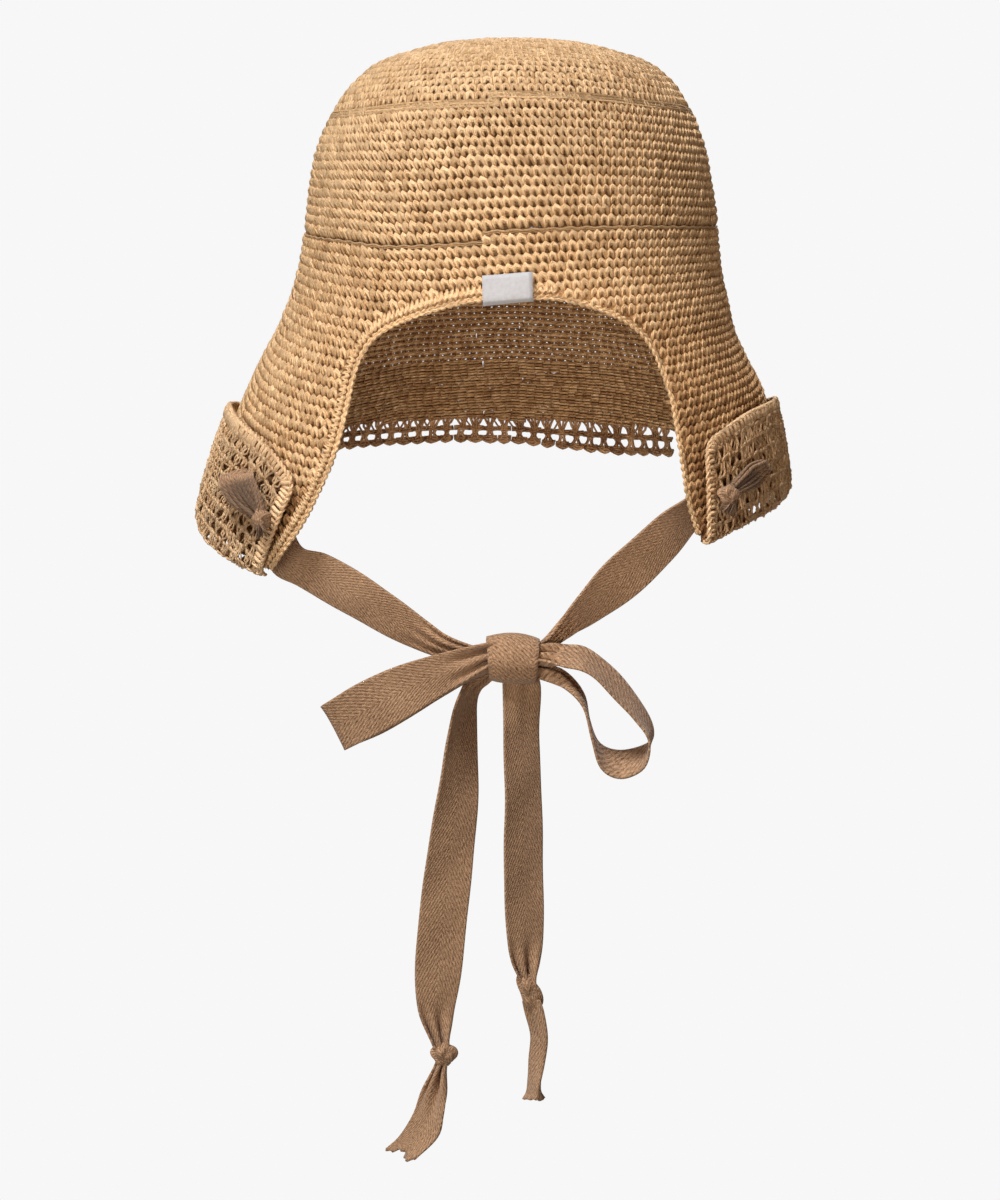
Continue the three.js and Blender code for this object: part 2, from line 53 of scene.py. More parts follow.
def placeCamera():
    tilt = math.radians(cameraLook["elevation"])
    reach = cameraLook["distance"]
    data = bpy.data.cameras.new("camera")
    data.lens = cameraLook["lens"]
    data.sensor_width = 36
    camera = bpy.data.objects.new("camera", data)
    camera.location = (
        cameraLook["aimAcross"],
        -reach * math.cos(tilt),
        cameraLook["aimHeight"] + reach * math.sin(tilt),
    )
    camera.rotation_euler = (math.pi / 2 - tilt, 0, 0)
    scene.collection.objects.link(camera)
    scene.camera = camera


placeCamera()
print("camera placed")

# The bonnet's outer surface, as the frame has it: height, half widths left and right,
# depths front and back
sections = [
    (2.6, 0, 0, 0, 0),
    (2, 15, 15, 17, 17),
    (0.2, 31, 31, 36, 36),
    (-6.5, 53.5, 54.5, 63, 63),
    (-14, 64, 65.5, 75, 75.5),
    (-22, 71, 71.5, 83, 83.5),
    (-32, 76.5, 76.5, 89, 90),
    (-44, 81.5, 80.5, 94, 95),
    (-57, 84, 83, 97, 98),
    (-69, 85.5, 85, 98.5, 100),
    (-81, 86.8, 86, 100, 101.5),
    (-94, 89.3, 87.3, 101.5, 103),
    (-106, 93, 90, 103.5, 105),
    (-119, 98.5, 93, 106, 107.5),
    (-131, 105, 98.5, 108, 110),
    (-144, 111, 105, 110, 113),
    (-163, 119, 109.5, 111, 117),
    (-182, 125, 112.5, 110, 119),
    (-200, 129, 114.5, 108, 120),
    (-220, 131, 115, 106, 120),
]

# Lower edge of the wall on each side as angle from the face's middle and height.
# A cuff's rows go on with the angle and height of its top edge and its gap from the flap,
# and the hem's with its depth.
archEdge = {
    "left": [
        (0, -100), (10.5, -101.2), (20.5, -105), (31, -111.5), (36.3, -118.5), (38.2, -129),
        (37.7, -146), (37.8, -163), (39.8, -178), (43.3, -194), (50.5, -213),
    ],
    "right": [
        (0, -100), (10.5, -100), (18.5, -102.5), (28.5, -108), (35.8, -116), (38.6, -125.5),
        (39, -140), (39.2, -156), (39.7, -171), (40.4, -185), (42.6, -199),
    ],
}
cuffEdge = {
    "left": [
        (50.5, -213, 44, -177, 1), (57, -210, 50.5, -168, 1.3), (65, -206, 58.5, -161, 1.8),
        (75, -200.5, 69, -156, 2.4), (85.5, -194, 81, -152, 2.6), (97, -187, 94, -151.5, 2.6),
        (110, -180, 108, -154, 2.2), (124, -174.5, 123, -160, 1.6), (137, -172, 137, -166, 1),
    ],
    "right": [
        (42.6, -199, 44.3, -161, 1), (50, -195, 51.5, -156, 1.3), (58.5, -191, 59.5, -151.5, 1.8),
        (68, -187.5, 68.5, -149.5, 2.4), (79, -183.5, 78.5, -148.5, 2.6), (92, -179, 91, -148.5, 2.6),
        (106, -175.5, 105, -151.5, 2.2), (121.5, -173.5, 121, -159, 1.6), (136.5, -173, 136.5, -167, 1),
    ],
}
hemEdge = {
    "left": [(140, -163, 11.5), (155, -161.3, 12), (168, -161, 11.5), (180, -161.3, 11.8)],
    "right": [(140, -163.3, 14), (155, -162.8, 14.5), (168, -162, 13.5), (180, -161.3, 11.8)],
}
wallThickness = 2.6
sideSign = {"left": -1, "right": 1}


def smoothRows(rows, steps):
    rows = np.asarray(rows, float)
    slopes = np.gradient(rows, axis=0)
    place = np.linspace(0, len(rows) - 1, (len(rows) - 1) * steps + 1)
    low = np.minimum(place.astype(int), len(rows) - 2)
    p = (place - low)[:, None]
    start, end = rows[low], rows[low + 1]
    leave, arrive = slopes[low], slopes[low + 1]
    straight = start * (1 + 2 * p) * (1 - p) ** 2 + end * p * p * (3 - 2 * p)
    return straight + leave * p * (1 - p) ** 2 - arrive * p * p * (1 - p)


fineSections = smoothRows(sections, 12)


def outerPoint(angle, z):
    angle, z = np.broadcast_arrays(np.asarray(angle, float), np.asarray(z, float))
    heights = -fineSections[:, 0]
    left, right, front, back = (np.interp(-z, heights, fineSections[:, k]) for k in range(1, 5))
    across, ahead = np.sin(np.radians(angle)), np.cos(np.radians(angle))
    x = across * np.where(across < 0, left, right)
    y = -ahead * np.where(ahead > 0, front, back)
    return np.stack([x, y, z], -1)


def unit(v):
    return v / np.maximum(np.linalg.norm(v, axis=-1, keepdims=True), 1e-9)


def lengthAlong(path):
    return np.r_[0, np.cumsum(np.linalg.norm(np.diff(path, axis=0), axis=1))]


def pointsAt(at, length, path):
    return np.stack([np.interp(at, length, path[:, k]) for k in range(3)], -1)


def onShell(angle, z, offset=0.0, drop=0.0):
    around = unit(outerPoint(angle + 0.5, z) - outerPoint(angle - 0.5, z))
    up = unit(outerPoint(angle, z + 0.4) - outerPoint(angle, z - 0.4))
    outward = unit(np.cross(around, up))
    offset, drop = np.asarray(offset, float), np.asarray(drop, float)
    return outerPoint(angle, z) + outward * offset[..., None] - up * drop[..., None]


# A patch is a grid of points with their outward normals: columns run to the right, rows run down
def makePatch(points):
    right = np.gradient(points, axis=1)
    down = np.gradient(points, axis=0)
    return {"points": points, "normals": unit(np.cross(down, right))}


def onPatch(patch, column, row, height=0.0):
    points, normals = patch["points"], patch["normals"]
    column, row = np.broadcast_arrays(np.asarray(column, float), np.asarray(row, float))
    i = np.clip(np.floor(row).astype(int), 0, points.shape[0] - 2)
    j = np.clip(np.floor(column).astype(int), 0, points.shape[1] - 2)
    p, q = (row - i)[..., None], (column - j)[..., None]

    def mixed(grid):
        top = grid[i, j] * (1 - q) + grid[i, j + 1] * q
        bottom = grid[i + 1, j] * (1 - q) + grid[i + 1, j + 1] * q
        return top * (1 - p) + bottom * p

    return mixed(points) + unit(mixed(normals)) * np.asarray(height, float)[..., None]


# Crochet rows run in one spiral from the crown's centre. A row number counts from there.
rowLook = {
    "crownRows": 22,
    "bandRows": 14,
    "skirtRows": 35,
    "joinAngle": -8,  # where a round ends and the next begins, left of the face's middle
    "columns": 168,  # stitches in a round below the upper ridge
    "lastColumns": 204,  # and in the lowest round, after the skirt has grown
    "columnShift": 0.17,  # how far each round's stitches move on from the last
    "crownPitch": 3.4,  # a stitch's width on the crown's top, in mm
}
ridgeRow = rowLook["crownRows"]
grooveRow = ridgeRow + rowLook["bandRows"]
lastRow = grooveRow + rowLook["skirtRows"]
gridStep = 0.25
gridAngles = np.arange(-186, 187, 1.0)

grooveHeights = [
    (-180, -75.8), (-120, -76), (-78, -76.6), (-53, -77.4), (-36, -79), (-23, -78.4), (-12, -77.1),
    (0, -76), (18, -74.7), (35, -74.4), (74, -75.2), (120, -75.6), (180, -75.8),
]
lowestHeights = [
    (-180, -164), (-155, -166), (-137, -172.5), (-124, -175), (-110, -180.5), (-97, -187.5),
    (-85.5, -194.5), (-75, -201), (-65, -207.5), (-57, -212.5), (-50.5, -216.5), (-38, -222),
    (-20, -223), (0, -216), (20, -208), (42.6, -200), (50, -196), (58.5, -191.5), (68, -188),
    (79, -184), (92, -179.5), (106, -176), (121.5, -174), (136.5, -173.5), (155, -168), (180, -164),
]


def turned(angle):
    return (np.asarray(angle, float) + 180) % 360 - 180


def tabled(rows, angle):
    rows = np.array(rows, float)
    return np.interp(turned(angle), rows[:, 0], rows[:, 1])


def rowGrid():
    levels = np.arange(0, lastRow + 3, gridStep)
    points = np.zeros((len(levels), len(gridAngles), 3))
    for j, angle in enumerate(gridAngles):
        line = outerPoint(angle, fineSections[:, 0])
        length = lengthAlong(line)
        ridge = -24 + 2.9 * math.cos(2 * math.radians(angle))
        stops = [ridge, tabled(grooveHeights, angle), tabled(lowestHeights, angle)]
        upper, groove, lowest = np.interp(-np.array(stops, float), -line[:, 2], length)
        beyond = lowest + 3 * (lowest - groove) / rowLook["skirtRows"]
        at = np.interp(
            levels,
            [0, ridgeRow, grooveRow, lastRow, lastRow + 3],
            [0, upper, groove, lowest, beyond],
        )
        for axis in range(3):
            points[:, j, axis] = np.interp(at, length, line[:, axis])
    patch = makePatch(points)
    patch["normals"][0] = (0, 0, 1)
    return patch


rowPatch = rowGrid()


def onRows(angle, level, height=0.0):
    column = turned(angle) - gridAngles[0]
    return onPatch(rowPatch, column, np.asarray(level, float) / gridStep, height)


def spiralShare(angle):
    return ((np.asarray(angle, float) - rowLook["joinAngle"]) % 360) / 360


def newPiece(name, mesh, material):
    piece = bpy.data.objects.new(name, mesh)
    scene.collection.objects.link(piece)
    mesh.materials.append(material)
    return piece


def meshOf(name, bm):
    mesh = bpy.data.meshes.new(name)
    bm.to_mesh(mesh)
    bm.free()
    return mesh


# Strands of yarn. A ring is extruded along a path, and each corner keeps how far along and
# how far round the strand it is.
def placesAlong(path, startSide):
    path = np.asarray(path, float)
    tangents = unit(np.gradient(path, axis=0))
    side = np.asarray(startSide, float)
    places = []
    for point, tangent in zip(path, tangents):
        side = unit(side - tangent * np.dot(side, tangent))
        other = np.cross(tangent, side)
        places.append(Matrix(np.column_stack([side, other, tangent, point]).tolist() + [[0, 0, 0, 1]]))
    return places


def strand(path, radii, sides=5, startSide=(0, 0, 1)):
    path = np.asarray(path, float)
    radii = np.asarray(radii, float)
    radii = np.broadcast_to(radii if radii.ndim == 2 else radii.reshape(-1, 1), (len(path), 2))
    places = [
        place @ Matrix.Diagonal((*half, 1, 1))
        for place, half in zip(placesAlong(path, startSide), radii)
    ]
    bm = bmesh.new()
    rings = [bmesh.ops.create_circle(bm, segments=sides, radius=1, matrix=places[0])["verts"]]
    edges = bm.edges[:]
    firstEdges = list(edges)
    for before, after in zip(places, places[1:]):
        made = bmesh.ops.extrude_edge_only(bm, edges=edges)["geom"]
        ring = [g for g in made if isinstance(g, bmesh.types.BMVert)]
        edges = [g for g in made if isinstance(g, bmesh.types.BMEdge)]
        bmesh.ops.transform(bm, matrix=after @ before.inverted(), verts=ring)
        edges = [e for e in edges if all(v in ring for v in e.verts)]
        rings.append(ring)
    bmesh.ops.holes_fill(bm, edges=firstEdges + edges, sides=sides)
    bmesh.ops.recalc_face_normals(bm, faces=bm.faces)
    bm.verts.index_update()
    co = np.array([v.co for v in bm.verts])
    lay = np.zeros((len(co), 2))
    for ring, place, along in zip(rings, places, lengthAlong(path)):
        away = place.inverted()
        for v in ring:
            at = away @ v.co
            lay[v.index] = (along, math.atan2(at.y, at.x) / (2 * math.pi) % 1)
    loops = [v.index for f in bm.faces for v in f.verts]
    sizes = [len(f.verts) for f in bm.faces]
    bm.free()
    return {"co": co, "lay": lay, "loops": np.array(loops), "sizes": np.array(sizes)}


def joined(shapes):
    counts = np.cumsum([0] + [len(s["co"]) for s in shapes])
    return {
        "co": np.vstack([s["co"] for s in shapes]),
        "lay": np.vstack([s["lay"] for s in shapes]),
        "loops": np.concatenate([s["loops"] + n for s, n in zip(shapes, counts)]),
        "sizes": np.concatenate([s["sizes"] for s in shapes]),
    }


# A work gathers many copies of strands, then becomes one piece
class Work:
    def __init__(self):
        self.parts = []
        self.count = 0

    def add(self, shape, places, tone, seeds):
        copies, corners = places.shape[0], places.shape[1]
        shift = (np.arange(copies) * corners + self.count)[:, None]
        lay = np.broadcast_to(shape["lay"], (copies, corners, 2))
        seed = np.broadcast_to(seeds[:, None, None], (copies, corners, 1))
        self.parts.append((
            places.reshape(-1, 3),
            np.broadcast_to(tone, (copies, corners)).reshape(-1),
            np.concatenate([lay, seed], -1).reshape(-1, 3),
            (shape["loops"][None, :] + shift).reshape(-1),
            np.tile(shape["sizes"], copies),
        ))
        self.count += copies * corners

    def addStrand(self, shape, tone, seed=0.5):
        self.add(shape, shape["co"][None], np.full((1, len(shape["co"])), tone), np.array([seed]))

    def toPiece(self, name, material):
        co, tone, lay, loops, sizes = (np.concatenate(group) for group in zip(*self.parts))
        mesh = bpy.data.meshes.new(name)
        mesh.vertices.add(len(co))
        mesh.vertices.foreach_set("co", (co * mm).ravel())
        mesh.loops.add(len(loops))
        mesh.loops.foreach_set("vertex_index", loops.astype(np.int32))
        mesh.polygons.add(len(sizes))
        mesh.polygons.foreach_set("loop_start", np.r_[0, np.cumsum(sizes)[:-1]].astype(np.int32))
        mesh.polygons.foreach_set("use_smooth", np.ones(len(sizes), bool))
        mesh.update(calc_edges=True)
        mesh.attributes.new("tone", "FLOAT", "POINT").data.foreach_set("value", tone.astype(np.float32))
        mesh.attributes.new("lay", "FLOAT_VECTOR", "POINT").data.foreach_set(
            "vector", lay.astype(np.float32).ravel()
        )
        mesh.validate()
        print(f"{name}: {len(co)} corners, {int((sizes - 2).sum())} triangles")
        return newPiece(name, mesh, material)


# One stitch as seen from outside: an arched loop with spread legs, and the bar behind it.
# It is drawn on a tile of this pitch, then copied by shares of the tile.
tile = {"across": 3.6, "down": 3.8}


def tileStrand(path, radii, startSide=(0, 0, 1)):
    path = np.array(path, float) * (tile["across"], tile["down"], 1)
    return strand(path, radii, 4, startSide)


def stitchShape(look, gap=1.0, pinhole=0.0):
    leg = [(0.5 - (0.5 - x) / gap if x else 0.0, y, height) for x, y, height, flat, broad in look["leg"]]
    half = [(-x, y, height) for x, y, height in leg]
    thick = [(flat * 1.14, broad * 1.14) for x, y, height, flat, broad in look["leg"]]
    path = half + [(-x, y, height) for x, y, height in half[-2::-1]]
    arch = tileStrand(path, thick + thick[-2::-1], startSide=(1, 0, 1))  # its broad side faces out
    y, height = look["front"]
    parts = [arch, tileStrand([(-0.5, y + 0.03, height), (0.5, y - 0.03, height)], [(0.5, 1.05)])]
    # painted shade: the loop's tone falls with its depth, darkest at its feet between the legs, and the
    # closing strand is a little darker
    tones = [np.clip((arch["co"][:, 2] + 1.8) / 1.55, 0, 1) * 0.9, np.full(len(parts[1]["co"]), 0.76)]
    for y, height, broad, tone in backBars["open" if pinhole else "closed"]:
        drop = 0.2 * pinhole * (y < 0)
        bar = tileStrand(
            [(-0.5, y + 0.02 - drop, height), (0.5, y - 0.02 - drop, height)], [(0.42, broad - drop)]
        )
        parts.append(bar)
        tones.append(np.full(len(bar["co"]), tone))
    shape = joined(parts)
    shape["co"] = shape["co"] / (tile["across"], tile["down"], 1)
    shape["tone"] = np.concatenate(tones)
    return shape


# The bars behind a stitch, which are seen inside: up share of the tile, height, half width, and a low tone,
# which is painted shade inside the hat
backBars = {"open": [(0.27, -2.0, 0.98, 0.6), (-0.2, -2.12, 0.98, 0.44)], "closed": [(0.03, -2.0, 2.05, 0.6)]}

# A stitch's leg from its foot to the top: across and up as shares of the tile, height, and its
# two half thicknesses in mm. Then up share and height of the strand that closes its upper half.
wallStitch = {
    "leg": [
        (0.4, -0.6, -1.75, 0.8, 0.88),
        (0.375, -0.27, -1.2, 0.9, 0.96),
        (0.315, 0.1, -0.62, 0.9, 1.12),
        (0.0, 0.37, -0.66, 0.88, 0.96),
    ],
    "front": (0.09, -0.84),
}
crownStitch = {
    "leg": [
        (0.4, -0.6, -1.4, 0.8, 0.86),
        (0.375, -0.27, -1.1, 0.86, 0.94),
        (0.315, 0.1, -0.85, 0.86, 1.08),
        (0.0, 0.35, -0.88, 0.85, 0.95),
    ],
    "front": (0.12, -1.02),
}
ridgeStitch = {
    "leg": [
        (0.24, -0.6, -1.3, 0.85, 0.9),
        (0.24, -0.3, -0.85, 0.9, 0.95),
        (0.23, 0.1, -0.75, 0.9, 0.95),
        (0.0, 0.42, -1.0, 0.8, 0.9),
    ],
    "front": (0.1, -1.0),
}


def layStitches(work, look, angle, level, lean, stepDegrees, shade=0.0, pinhole=0.0):
    shade = np.broadcast_to(shade, len(angle))
    kind = chance.integers(0, 3, len(angle))
    for k, gap in enumerate((0.78, 0.92, 1.12)):
        here = kind == k
        shape = stitchShape(look, gap, pinhole)
        count = int(here.sum())
        across = shape["co"][None, :, 0] + lean[here, None] * shape["co"][None, :, 1]
        down = shape["co"][None, :, 1]
        up = shape["co"][None, :, 2]
        grow = 1 + chance.normal(0, 0.05, (count, 1))
        slide = chance.normal(0, 0.06, (count, 1))
        sink = chance.normal(0, 0.13, (count, 1))
        angles = angle[here, None] + (across * grow + slide) * stepDegrees[here, None]
        levels = level[here, None] - down * grow + chance.normal(0, 0.04, (count, 1))
        places = onRows(angles, levels, up + sink)
        # shade is painted shade: it lowers the stitches' tone behind the cuffs and on the flaps
        tone = shape["tone"][None] + chance.normal(0, 0.07, (count, 1)) - shade[here, None]
        work.add(shape, places, np.clip(tone, 0, 1), chance.random(count))


def leanAt(angle, level=0.0):
    lean = tabled(
        [(-180, -0.2), (-120, -0.3), (-60, -0.75), (-10, -0.5), (20, -0.25), (60, 0), (180, -0.2)],
        angle,
    )
    return np.interp(level, [40, 56], [1, 0.15]) * lean


print("row grid made")

edgePaths = {}
for side, sign in sideSign.items():
    rows = smoothRows(archEdge[side], 12)
    edgePaths[side] = np.c_[sign * rows[:, 0], rows[:, 1]]
archLine = np.vstack([edgePaths["left"][::-1], edgePaths["right"][1:]])
archPoints = onShell(archLine[:, 0], archLine[:, 1], np.full(len(archLine), -wallThickness / 2))


def archAngle(z, side):
    rows = edgePaths[side]
    return np.interp(-z, -rows[:, 1], np.abs(rows[:, 0]))


def edgeHeight(angle):
    table = []
    for side, sign in sideSign.items():
        for edge in (cuffEdge, hemEdge):
            table += [(sign * row[0], row[1]) for row in smoothRows(edge[side], 4)]
    return tabled(sorted(table), angle)


def cuffTop(angle):
    table = []
    for side, sign in sideSign.items():
        table += [(sign * row[2], row[3]) for row in smoothRows(cuffEdge[side], 4)]
    return np.where(np.abs(turned(angle)) > 42, tabled(sorted(table), angle), -400)


tieHoles = [onShell(np.array(angle), np.array(z)) for angle, z in ((-60.0, -175.0), (62.0, -172.0))]
tieHoleRadius = 4.4


def onWall(points, angle):
    z = points[:, 2]
    angle = turned(angle)
    limit = np.where(angle < 0, archAngle(z, "left"), archAngle(z, "right"))
    inFace = (z < -100) & (np.abs(angle) < limit)
    toArch = np.full(len(points), 1e9)
    for start in range(0, len(points), 2000):
        some = points[start:start + 2000]
        apart = np.linalg.norm(some[:, None] - archPoints[None, ::2], axis=2)
        toArch[start:start + 2000] = apart.min(1)
    low = np.where(np.abs(angle) > 40, edgeHeight(angle), -400)
    border = np.interp(angle, [-10, 14], [3.9, 1.3])
    reach = np.where((np.abs(angle) > 139) | (np.abs(angle) < 58), -0.8, 1.0)
    keep = ~inFace & (toArch > border) & (z > low + reach)
    for hole in tieHoles:
        keep &= np.linalg.norm(points - hole, axis=1) > tieHoleRadius
    return keep


def buildCrownTop():
    spiral = np.arange(0.85, ridgeRow + 0.006, 1 / 720)
    path = onRows(rowLook["joinAngle"] + spiral * 360, spiral)
    length = lengthAlong(path)
    at = np.interp(np.arange(0, length[-1], rowLook["crownPitch"]), length, spiral)
    at = at[at > 1.6]
    angles = rowLook["joinAngle"] + at * 360
    step = rowLook["crownPitch"] / np.linalg.norm(onRows(angles + 1, at) - onRows(angles, at), axis=1)
    work = Work()
    layStitches(work, crownStitch, angles, at, np.full(len(at), -0.12), step)
    centre = onRows(0, 0)
    for k in range(7):  # small loops drawn together in the middle
        turn = 2 * math.pi * k / 7
        out = np.array([math.cos(turn), math.sin(turn), 0])
        rise = np.array([0, 0, 1])
        rows = ((0.6, -1.6), (1.8, -0.8), (4.6, -0.9), (6, -1.9))
        path = [centre + out * reach + rise * height for reach, height in rows]
        work.addStrand(strand(path, 1.15, startSide=np.cross(out, rise)), tone=0.8, seed=k / 7)
    turns = np.linspace(0.12, 2.1, 60)  # a flat strand closes the middle from inside
    path = onRows(rowLook["joinAngle"] + turns * 360, turns, -2.0)
    # painted shade: the strand inside the middle is set darker
    work.addStrand(strand(path, [(0.45, 2.3)]), tone=0.55)
    return work


# Stitches of a run of rounds, one after another along the spiral
def roundsOf(firstRow, rounds, lastColumns):
    middle = onRows(gridAngles, (ridgeRow + grooveRow) / 2)
    length = lengthAlong(middle)
    start, end, join = np.interp((-180, 180, rowLook["joinAngle"]), gridAngles, length)
    turns, widths = [], []
    turn = 0.5 / rowLook["columns"]
    while turn < rounds:
        columns = np.interp(turn, [5, 35], [rowLook["columns"], lastColumns]) + rowLook["columnShift"]
        turns.append(turn)
        widths.append((end - start) / columns)
        turn += 1 / columns
    turns, widths = np.array(turns), np.array(widths)
    place = start + (join - start + turns * (end - start)) % (end - start)
    angle = np.interp(place, length, gridAngles)
    step = widths / np.interp(angle, gridAngles, np.gradient(length, gridAngles))
    return angle, firstRow + np.floor(turns) + spiralShare(angle), step


def buildBand():
    work = Work()
    angle, level, step = roundsOf(ridgeRow + 1.03, rowLook["bandRows"] - 1, rowLook["columns"])
    layStitches(work, wallStitch, angle, level, leanAt(angle), step)
    return work


ridgeLook = {"strands": 4, "apart": 0.85, "sway": 0.28, "height": -0.36, "radius": 0.62, "tone": 0.82}


def addRidge(work):
    look = ridgeLook
    angle, level, step = roundsOf(ridgeRow + 0.02, 1, rowLook["columns"])
    layStitches(work, ridgeStitch, angle, level, leanAt(angle) - 0.15, step)
    angles = rowLook["joinAngle"] + np.arange(0, 365, 1.3)
    level = ridgeRow + 0.02 + (angles - rowLook["joinAngle"]) / 360
    for k in range(look["strands"]):  # faint strands laid along the ridge
        wave = look["sway"] * np.sin(np.arange(len(angles)) * 0.19 + k * 2.1)
        path = onRows(angles, level + ((k - 1.5) * look["apart"] + wave) / 3.9, look["height"])
        work.addStrand(strand(path, look["radius"], sides=4), tone=look["tone"], seed=k / look["strands"])


def addGrooveLine(work):
    angles = rowLook["joinAngle"] + np.arange(0, 364, 0.9)
    level = grooveRow + (angles - rowLook["joinAngle"]) / 360
    wave = 0.25 * np.sin(np.arange(len(angles)) * 1.15)
    for k, height, thick in ((0, -0.3, 0.42), (1, -0.9, 0.5)):
        path = onRows(angles, level + (wave + 0.6 * k - 0.75) / 3.8, height)
        # painted shade: the deeper strand in the groove is set darker
        work.addStrand(strand(path, thick, sides=4), tone=0.95 - 0.25 * k, seed=0.3 + 0.3 * k)


skirtParts = {
    "skirt_left": (-112, 0),
    "skirt_right": (0, 112),
    "skirt_back": (112, 248),
}
# painted shade for the skirt's stitches: a painted shadow on the wall behind the cuffs, strong painted shade
# on the right flap and a little on the left flap, where less light falls
skirtLook = {"openRows": 24, "paintedCuffShadow": 0.8, "paintedRightFlapShade": 0.42, "paintedLeftFlapShade": 0.12}


def buildSkirt(works):
    angle, level, step = roundsOf(grooveRow + 0.6, rowLook["skirtRows"] + 1, rowLook["lastColumns"])
    points = onRows(angle, level)
    keep = onWall(points, angle)
    angle, level, step, points = angle[keep], level[keep], step[keep], points[keep]

    def onFlap(sign):
        beside = sign * turned(angle)
        return np.clip((beside - 18) / 14, 0, 1) * np.clip((100 - beside) / 30, 0, 1)

    look = skirtLook
    # painted shadow where the wall lies behind a cuff, then painted shade on the flaps, growing down the
    # right flap
    shade = np.clip((cuffTop(angle) - 2 - points[:, 2]) / 4, 0, 1) * look["paintedCuffShadow"]
    shade = np.maximum(shade, onFlap(1) * np.clip((level - grooveRow - 4) / 16, 0, 1) * look["paintedRightFlapShade"])
    shade = np.maximum(shade, onFlap(-1) * look["paintedLeftFlapShade"])
    for name, (start, end) in skirtParts.items():
        inPiece = (angle - start) % 360 < end - start
        # small holes show the light through the upper rows at the back
        pierced = inPiece & (name == "skirt_back") & (level < grooveRow + look["openRows"])
        apart = inPiece & ~pierced & (np.abs(turned(angle - 180)) < 40)  # seen inside, under the arch
        for here, pinhole in ((pierced, 1.0), (apart, 0.25), (inPiece & ~pierced & ~apart, 0.0)):
            if not here.any():
                continue
            layStitches(
                works[name], wallStitch, angle[here], level[here], leanAt(angle[here], level[here]),
                step[here], shade[here], pinhole,
            )


def addArchBorder(works):
    # stitches worked into the row ends along the face opening, wide on the left only
    path = onShell(archLine[:, 0], archLine[:, 1])
    length = lengthAlong(path)
    at = np.arange(1.2, length[-1], 2.2)
    angle = np.interp(at, length, archLine[:, 0])
    z = np.interp(at, length, archLine[:, 1])
    centre = onShell(angle, z)
    outward = unit(onShell(angle, z, np.full(len(z), 1.0)) - centre)
    along = unit(pointsAt(at + 1, length, path) - pointsAt(at - 1, length, path))
    toward = np.cross(along, outward)
    shape = stitchShape(wallStitch)
    wide = np.interp(angle, [-10, 14], [4.4, 3.0])[:, None]
    u = shape["co"][None, :, 0] * 2.3 + chance.normal(0, 0.12, (len(at), 1))
    w = (shape["co"][None, :, 1] - 0.42) * wide
    h = shape["co"][None, :, 2] + chance.normal(0, 0.12, (len(at), 1))
    places = (
        centre[:, None] + along[:, None] * u[..., None] + toward[:, None] * w[..., None]
        + outward[:, None] * h[..., None]
    )
    tone = shape["tone"][None] + 0.03 + chance.normal(0, 0.05, (len(at), 1))
    seeds = chance.random(len(at))
    for name, keep in (("skirt_left", angle < 0), ("skirt_right", (angle >= 0) & (angle < 12))):
        works[name].add(shape, places[keep], np.clip(tone[keep], 0, 1), seeds[keep])


def ropeAlong(work, path, outward, look):
    length = lengthAlong(path)
    at = np.linspace(0, length[-1], max(int(length[-1] / look["sample"]), 4))
    centre, facing = pointsAt(at, length, path), unit(pointsAt(at, length, outward))
    along = unit(np.gradient(centre, axis=0))
    beside = np.cross(along, facing)
    for share in np.arange(look["strands"]) / look["strands"]:
        turn = 2 * math.pi * (share + at / look["pitch"])[:, None]
        offset = facing * (np.cos(turn) * look["height"]) + beside * (np.sin(turn) * look["width"])
        rope = strand(centre + offset, look["radius"], startSide=facing[0])
        work.addStrand(rope, tone=look["tone"], seed=share)


edgingLook = {"link": 3.0, "apart": 0.5, "sway": 0.22, "lift": 0.25, "radius": 0.74}


def buildEdging():
    points = archPoints
    along = unit(np.gradient(points, axis=0))
    outward = unit(onShell(archLine[:, 0], archLine[:, 1], np.full(len(archLine), 1.0)) - points)
    towardFace = unit(np.cross(along, outward))
    path = points + towardFace * 1.7 + outward * 0.3
    length = lengthAlong(path)
    at = np.arange(2.0, length[-1] - 2.0, 0.5)
    centre, facing, beside = (pointsAt(at, length, rows) for rows in (path, outward, towardFace))
    look = edgingLook
    work = Work()
    for k, way in ((0, -1), (0.5, 1)):
        turn = 2 * math.pi * (at / look["link"] + k)
        aside = way * (look["apart"] + look["sway"] * np.sin(turn))
        lift = look["lift"] * np.cos(turn)
        swell = look["radius"] * (1 + 0.14 * np.sin(turn))
        offset = beside * aside[:, None] + facing * lift[:, None]
        work.addStrand(strand(centre + offset, swell, startSide=facing[0]), tone=0.88, seed=0.3 + 0.4 * k)
    core = centre - beside * 3.4 - facing * 0.9  # the row ends behind the chain
    # painted shade: the row ends behind the chain are set darker
    work.addStrand(strand(core[::4], [(0.6, 2.9)], sides=8, startSide=facing[0]), tone=0.5)
    return work


# Cuffs: the flap's lower part in openwork, turned up outside it from a rounded fold
def cuffPatch(side):
    rows = smoothRows(cuffEdge[side], 10)
    sign = sideSign[side]
    bend = np.linspace(0, 1, 9)
    wall = np.linspace(0, 1, 37)[1:]
    lines = []
    for angle, z, topAngle, top, gap in rows:
        radius, base = (wallThickness + gap) / 2, z - 0.35
        offset = gap / 2 - radius * np.cos(bend * math.pi)
        drop = radius * np.sin(bend * math.pi)
        low = onShell(np.full(len(bend), sign * angle), np.full(len(bend), base), offset, drop)
        climb = onShell(
            sign * (angle + (topAngle - angle) * wall),
            base + (top - base) * wall,
            np.full(len(wall), gap + wallThickness / 2),
        )
        lines.append(np.vstack([low, climb]))
    points = np.stack(lines, 1)[::-1]
    if sign < 0:
        points = points[:, ::-1]
    return makePatch(points)


def patchLengths(patch, column):
    line = onPatch(patch, np.full(patch["points"].shape[0], column), np.arange(patch["points"].shape[0]))
    return lengthAlong(line)


